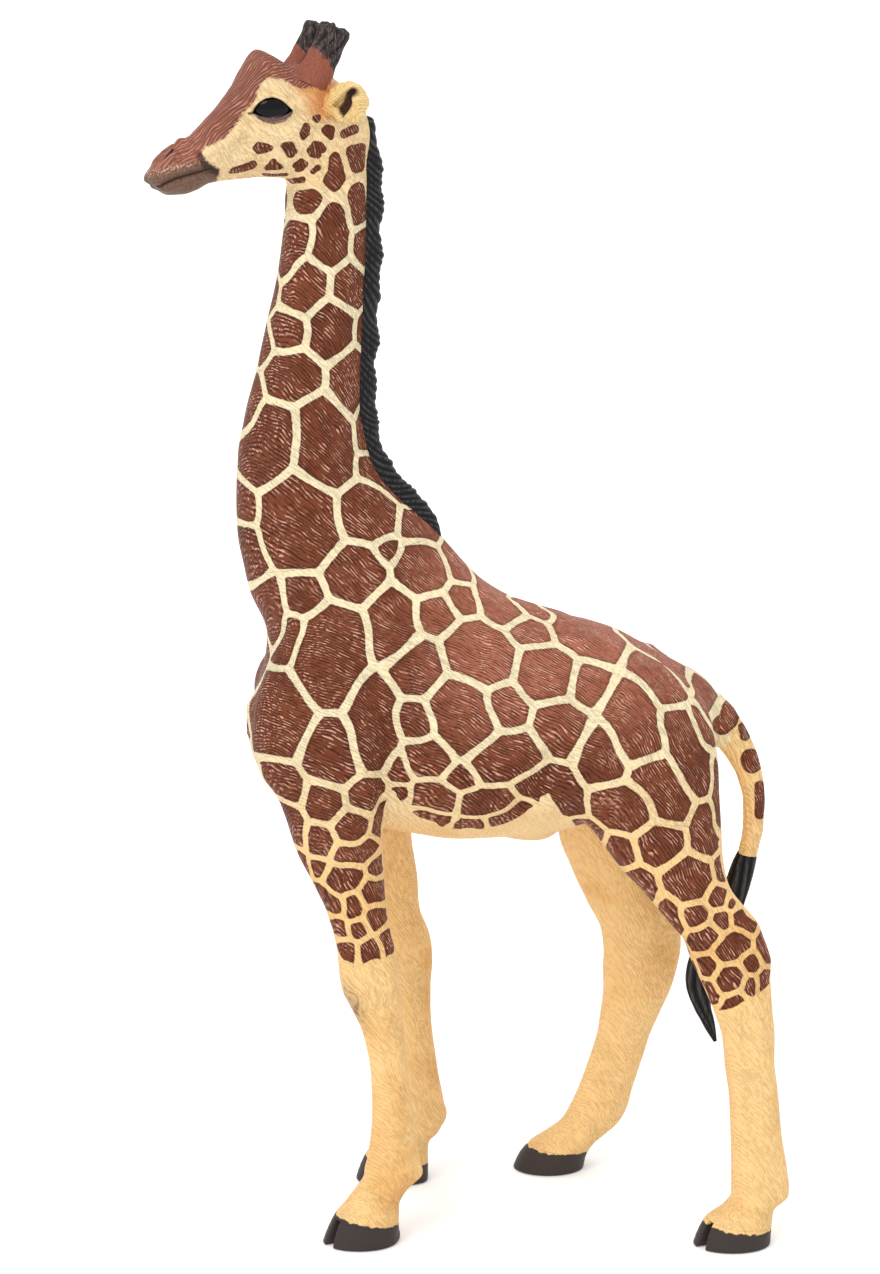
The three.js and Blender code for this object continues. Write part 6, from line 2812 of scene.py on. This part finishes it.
@dataclass(frozen=True)
class Ears:
    """The two cupped ears, with a thick rolled rim and a tuft of hair in front of the dark hollow."""

    rows: Rows = (
        (-0.22, 0.4),
        (0.05, 0.52),
        (0.25, 0.8),
        (0.5, 1.0),
        (0.75, 0.93),
        (0.9, 0.66),
        (1.0, 0.12),
    )
    slit: Rows = ((3.9, -1.3, 1.1), (5.2, 0.2, 0.8), (6.7, 1.6, 1.0))
    tuft: Rows = ((0.8, -0.4, 1.5), (2.6, 0.9, 1.9), (4.6, 2.2, 1.5))
    low_tuft: Rows = ((0.8, -1.2, 1.3), (2.9, -1.0, 1.6), (3.3, -2.2, 1.4))
    pitch: float = 0.16

    def build(self, head: Head, paint: Paint) -> None:
        """Builds both ears.

        Args:
            head: The head that carries them.
            paint: The materials.
        """
        for name, side in (("left_ear", -1), ("right_ear", 1)):
            frame = self._frame(side, head)
            self._ear(name, frame, paint)

    def _frame(self, side: int, head: Head) -> EarFrame:
        """Finds an ear's place.

        Args:
            side: -1 on the left and 1 on the right.
            head: The head.

        Returns:
            The ear's frame.
        """
        ahead, rise, across = EAR_PLACE
        base = np.array(head.world(ahead * HEAD_LENGTH, side * across * HEAD_WIDTH, rise * HEAD_DEPTH))
        back, out, up = EAR_POINTING
        axis = np.array(head.direction(back, side * out, up))
        raised = np.array(head.direction(0, 0, 1))
        raised -= axis * raised.dot(axis)
        raised /= np.linalg.norm(raised)
        return EarFrame(base, (axis, raised, np.cross(axis, raised) * -side))

    def _distance(self, frame: EarFrame, x: Array, y: Array, z: Array) -> Array:
        """Measures distance to an ear.

        Args:
            frame: The ear's frame.
            x: X places.
            y: Y places.
            z: Z places.

        Returns:
            Signed distances.
        """
        along, tall, front = frame.local(x, y, z)
        share = along / EAR_LENGTH
        size = Curve(self.rows).at(share, 1)
        rim = 0.1 * np.sin(along * 3.1 + tall * 2.0) + 0.06 * np.sin(tall * 5.2 - along * 1.4)
        thick = (0.55 + 0.45 * size) * EAR_THICKNESS / 2
        leaf = oval_distance(tall - 0.2, front, size * EAR_WIDTH / 2, thick) + rim
        leaf = np.maximum(leaf, (share - 1) * EAR_LENGTH)
        leaf = np.maximum(leaf, (-0.22 - share) * EAR_LENGTH)
        cup = np.sqrt(((along - 4.3) / 2.75) ** 2 + ((tall - 0.2) / 2.45) ** 2 + ((front - 2.5) / 2.0) ** 2)
        leaf = -soft_min(-leaf, (cup - 1) * 2.2, 0.8)
        slit = segment_distance((along, tall, front), self.slit) - 0.75
        leaf = -soft_min(-leaf, slit, 0.4)
        for line, radius in ((self.tuft, 0.72), (self.low_tuft, 0.6)):
            lock = segment_distance((along, tall, front), line) - radius
            leaf = soft_min(leaf, lock + 0.07 * np.sin(tall * 7 + along * 5), 0.5)
        return leaf

    def _ear(self, name: str, frame: EarFrame, paint: Paint) -> None:
        """Casts one ear.

        Args:
            name: CAD node name.
            frame: The ear's frame.
            paint: The materials.
        """
        tip = frame.axes[0] * EAR_LENGTH
        low = tuple((frame.base + np.minimum(tip, 0) - 6).tolist())
        high = tuple((frame.base + np.maximum(tip, 0) + 6).tolist())
        points, quads = cast(Grid(low, high, self.pitch), lambda x, y, z: self._distance(frame, x, y, z))
        piece = Moulding(points, quads)
        piece.keep_largest()
        item = piece.finish(name + "_shell")
        along, tall, front = frame.local(*places_of(item).T)
        slit = segment_distance((along, tall, front), self.slit)
        locks = np.minimum(
            segment_distance((along, tall, front), self.tuft),
            segment_distance((along, tall, front), self.low_tuft),
        )
        hollow = (1 - smooth_step(0.9, 1.45, slit)) * smooth_step(0.7, 0.95, locks)
        set_attribute(item, "hollow", hollow)
        set_attribute(item, "root", 1 - smooth_step(0.5, 3.6, along))
        place_piece(item, name, EAR_CREAM, paint.ear(EAR_CREAM))


@dataclass(frozen=True)
class Eyes:
    """The two varnished eyes."""

    length: float = 7.4
    height: float = 5.2
    depth: float = 4.3
    tilt: float = 0.12
    ring_count: int = 48
    sides: int = 64

    def build(self, head: Head, paint: Paint) -> None:
        """Builds both eyes.

        Args:
            head: The head that holds them.
            paint: The materials.
        """
        for name, side in (("left_eye", -1), ("right_eye", 1)):
            centre, fore, out, tall = head.eye_place(side)
            lat = np.linspace(0.02, math.pi - 0.02, self.ring_count)[:, None]
            lon = around(self.sides)
            outward = self.depth / 2 * np.cos(lat) + 0 * lon
            along = self.length / 2 * np.sin(lat) * np.cos(lon)
            outward = outward - self.tilt * along
            rise = self.height / 2 * np.sin(lat) * np.sin(lon)
            rings = rings_by_axes(centre, (out, fore, tall), (outward, along, rise))
            item = Tube(rings).finish(name + "_varnish")
            set_attribute(item, "lower", with_ends(smooth_step(-1.35, -1.6, rise), [0.0, 0.0]))
            place_piece(item, name, EYE_GLOSS, paint.eye(EYE_GLOSS))


@dataclass(frozen=True)
class Studio:
    """Plain pale floor, soft lamps and the photograph's camera."""

    floor_reach: float = 6.0

    def build(self, view: View) -> None:
        """Builds the studio.

        Args:
            view: The photograph's camera.
        """
        scene = bpy.context.scene
        scene.view_settings.view_transform = "Standard"
        self._floor()
        self._world()
        self._sun("key_light", (-0.5, -0.75, 1.0), 0.95, 28.0)
        self._sun("top_light", (0.25, 0.1, 1.0), 0.4, 60.0)
        self._camera(view)

    def _floor(self) -> None:
        """Lays the floor."""
        mesh = bpy.data.meshes.new("studio_floor")
        reach = self.floor_reach
        corners = [(-reach, -reach, 0), (reach, -reach, 0), (reach, reach, 0), (-reach, reach, 0)]
        mesh.from_pydata(corners, [], [(0, 1, 2, 3)])
        floor = add_object("studio_floor", mesh)
        material = bpy.data.materials.new("studio_paper")
        material.use_nodes = True
        graph = Graph(material.node_tree)
        shader = material.node_tree.nodes["Principled BSDF"]
        tone = graph.mix(graph.noise(graph.millimetres(), 0.02), (0.9, 0.9, 0.9, 1), (0.93, 0.93, 0.93, 1))
        graph.link(tone, shader, "Base Color")
        shader.inputs["Roughness"].default_value = 0.8
        shader.inputs["Specular IOR Level"].default_value = 0.1
        shader.inputs["Emission Color"].default_value = (1, 1, 1, 1)
        graph.link(graph.times(self._seen(graph), 0.2), shader, "Emission Strength")
        mesh.materials.append(material)

    def _seen(self, graph: Graph) -> bpy.types.NodeSocket:
        """Finds the rays that see a surface: straight, in gloss or through glass.

        Args:
            graph: Node tree to add to.

        Returns:
            1 for such a ray and 0 for the others.
        """
        path = graph.node("ShaderNodeLightPath")
        seen = graph.math("MAXIMUM", path.outputs["Is Camera Ray"], path.outputs["Is Glossy Ray"])
        return graph.math("MAXIMUM", seen, path.outputs["Is Transmission Ray"])

    def _world(self) -> None:
        """Makes the white surroundings."""
        world = bpy.data.worlds.new("studio_world")
        world.use_nodes = True
        bpy.context.scene.world = world
        graph = Graph(world.node_tree)
        background = world.node_tree.nodes["Background"]
        strength = graph.plus(0.93, graph.times(self._seen(graph), 0.07))
        background.inputs["Color"].default_value = (1, 1, 1, 1)
        graph.link(strength, background, "Strength")

    def _sun(self, name: str, place: Point, strength: float, spread: float) -> None:
        """Hangs a soft lamp far away, which lights the whole floor alike.

        Args:
            name: Lamp name.
            place: Direction that it shines from.
            strength: Watts a square metre.
            spread: Angle that it fills, in degrees.
        """
        lamp = bpy.data.lights.new(name, "SUN")
        lamp.energy = strength
        lamp.angle = math.radians(spread)
        item = add_object(name, lamp)
        item.location = place
        item.rotation_euler = (-Vector(place)).to_track_quat("-Z", "Y").to_euler()

    def _camera(self, view: View) -> None:
        """Sets the camera where the photograph was taken from.

        Args:
            view: The photograph's camera.
        """
        data = bpy.data.cameras.new("photo_camera")
        data.sensor_fit = "AUTO"
        data.sensor_width = view.sensor
        data.lens = view.focal_pixels * view.sensor / view.height
        data.clip_start = 0.01
        item = add_object("photo_camera", data)
        item.location = Vector(view.eye) * MM
        item.rotation_euler = Vector(-view.back).to_track_quat("-Z", "Y").to_euler()
        bpy.context.scene.camera = item


def main() -> None:
    """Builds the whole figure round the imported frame."""
    logging.basicConfig(level=logging.INFO, format="%(name)s: %(message)s")
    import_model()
    view = View()
    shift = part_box("trunk_left_shell")[0][0] / MM - CHEST_X
    LOG.info("model origin lies at x %.3f mm", shift)
    paint = Paint()
    skin = Skin(shift, view)
    pieces = SkinPieces(skin)
    pieces.build()
    pieces.dress(Painter(skin, view, Coat(skin)), paint)
    Mane().build(skin.neck, paint)
    Tail().build(skin.tail, view, paint)
    Ossicones().build(skin.head, paint)
    Ears().build(skin.head, paint)
    Eyes().build(skin.head, paint)
    Studio().build(view)


if __name__ == "__main__":
    main()
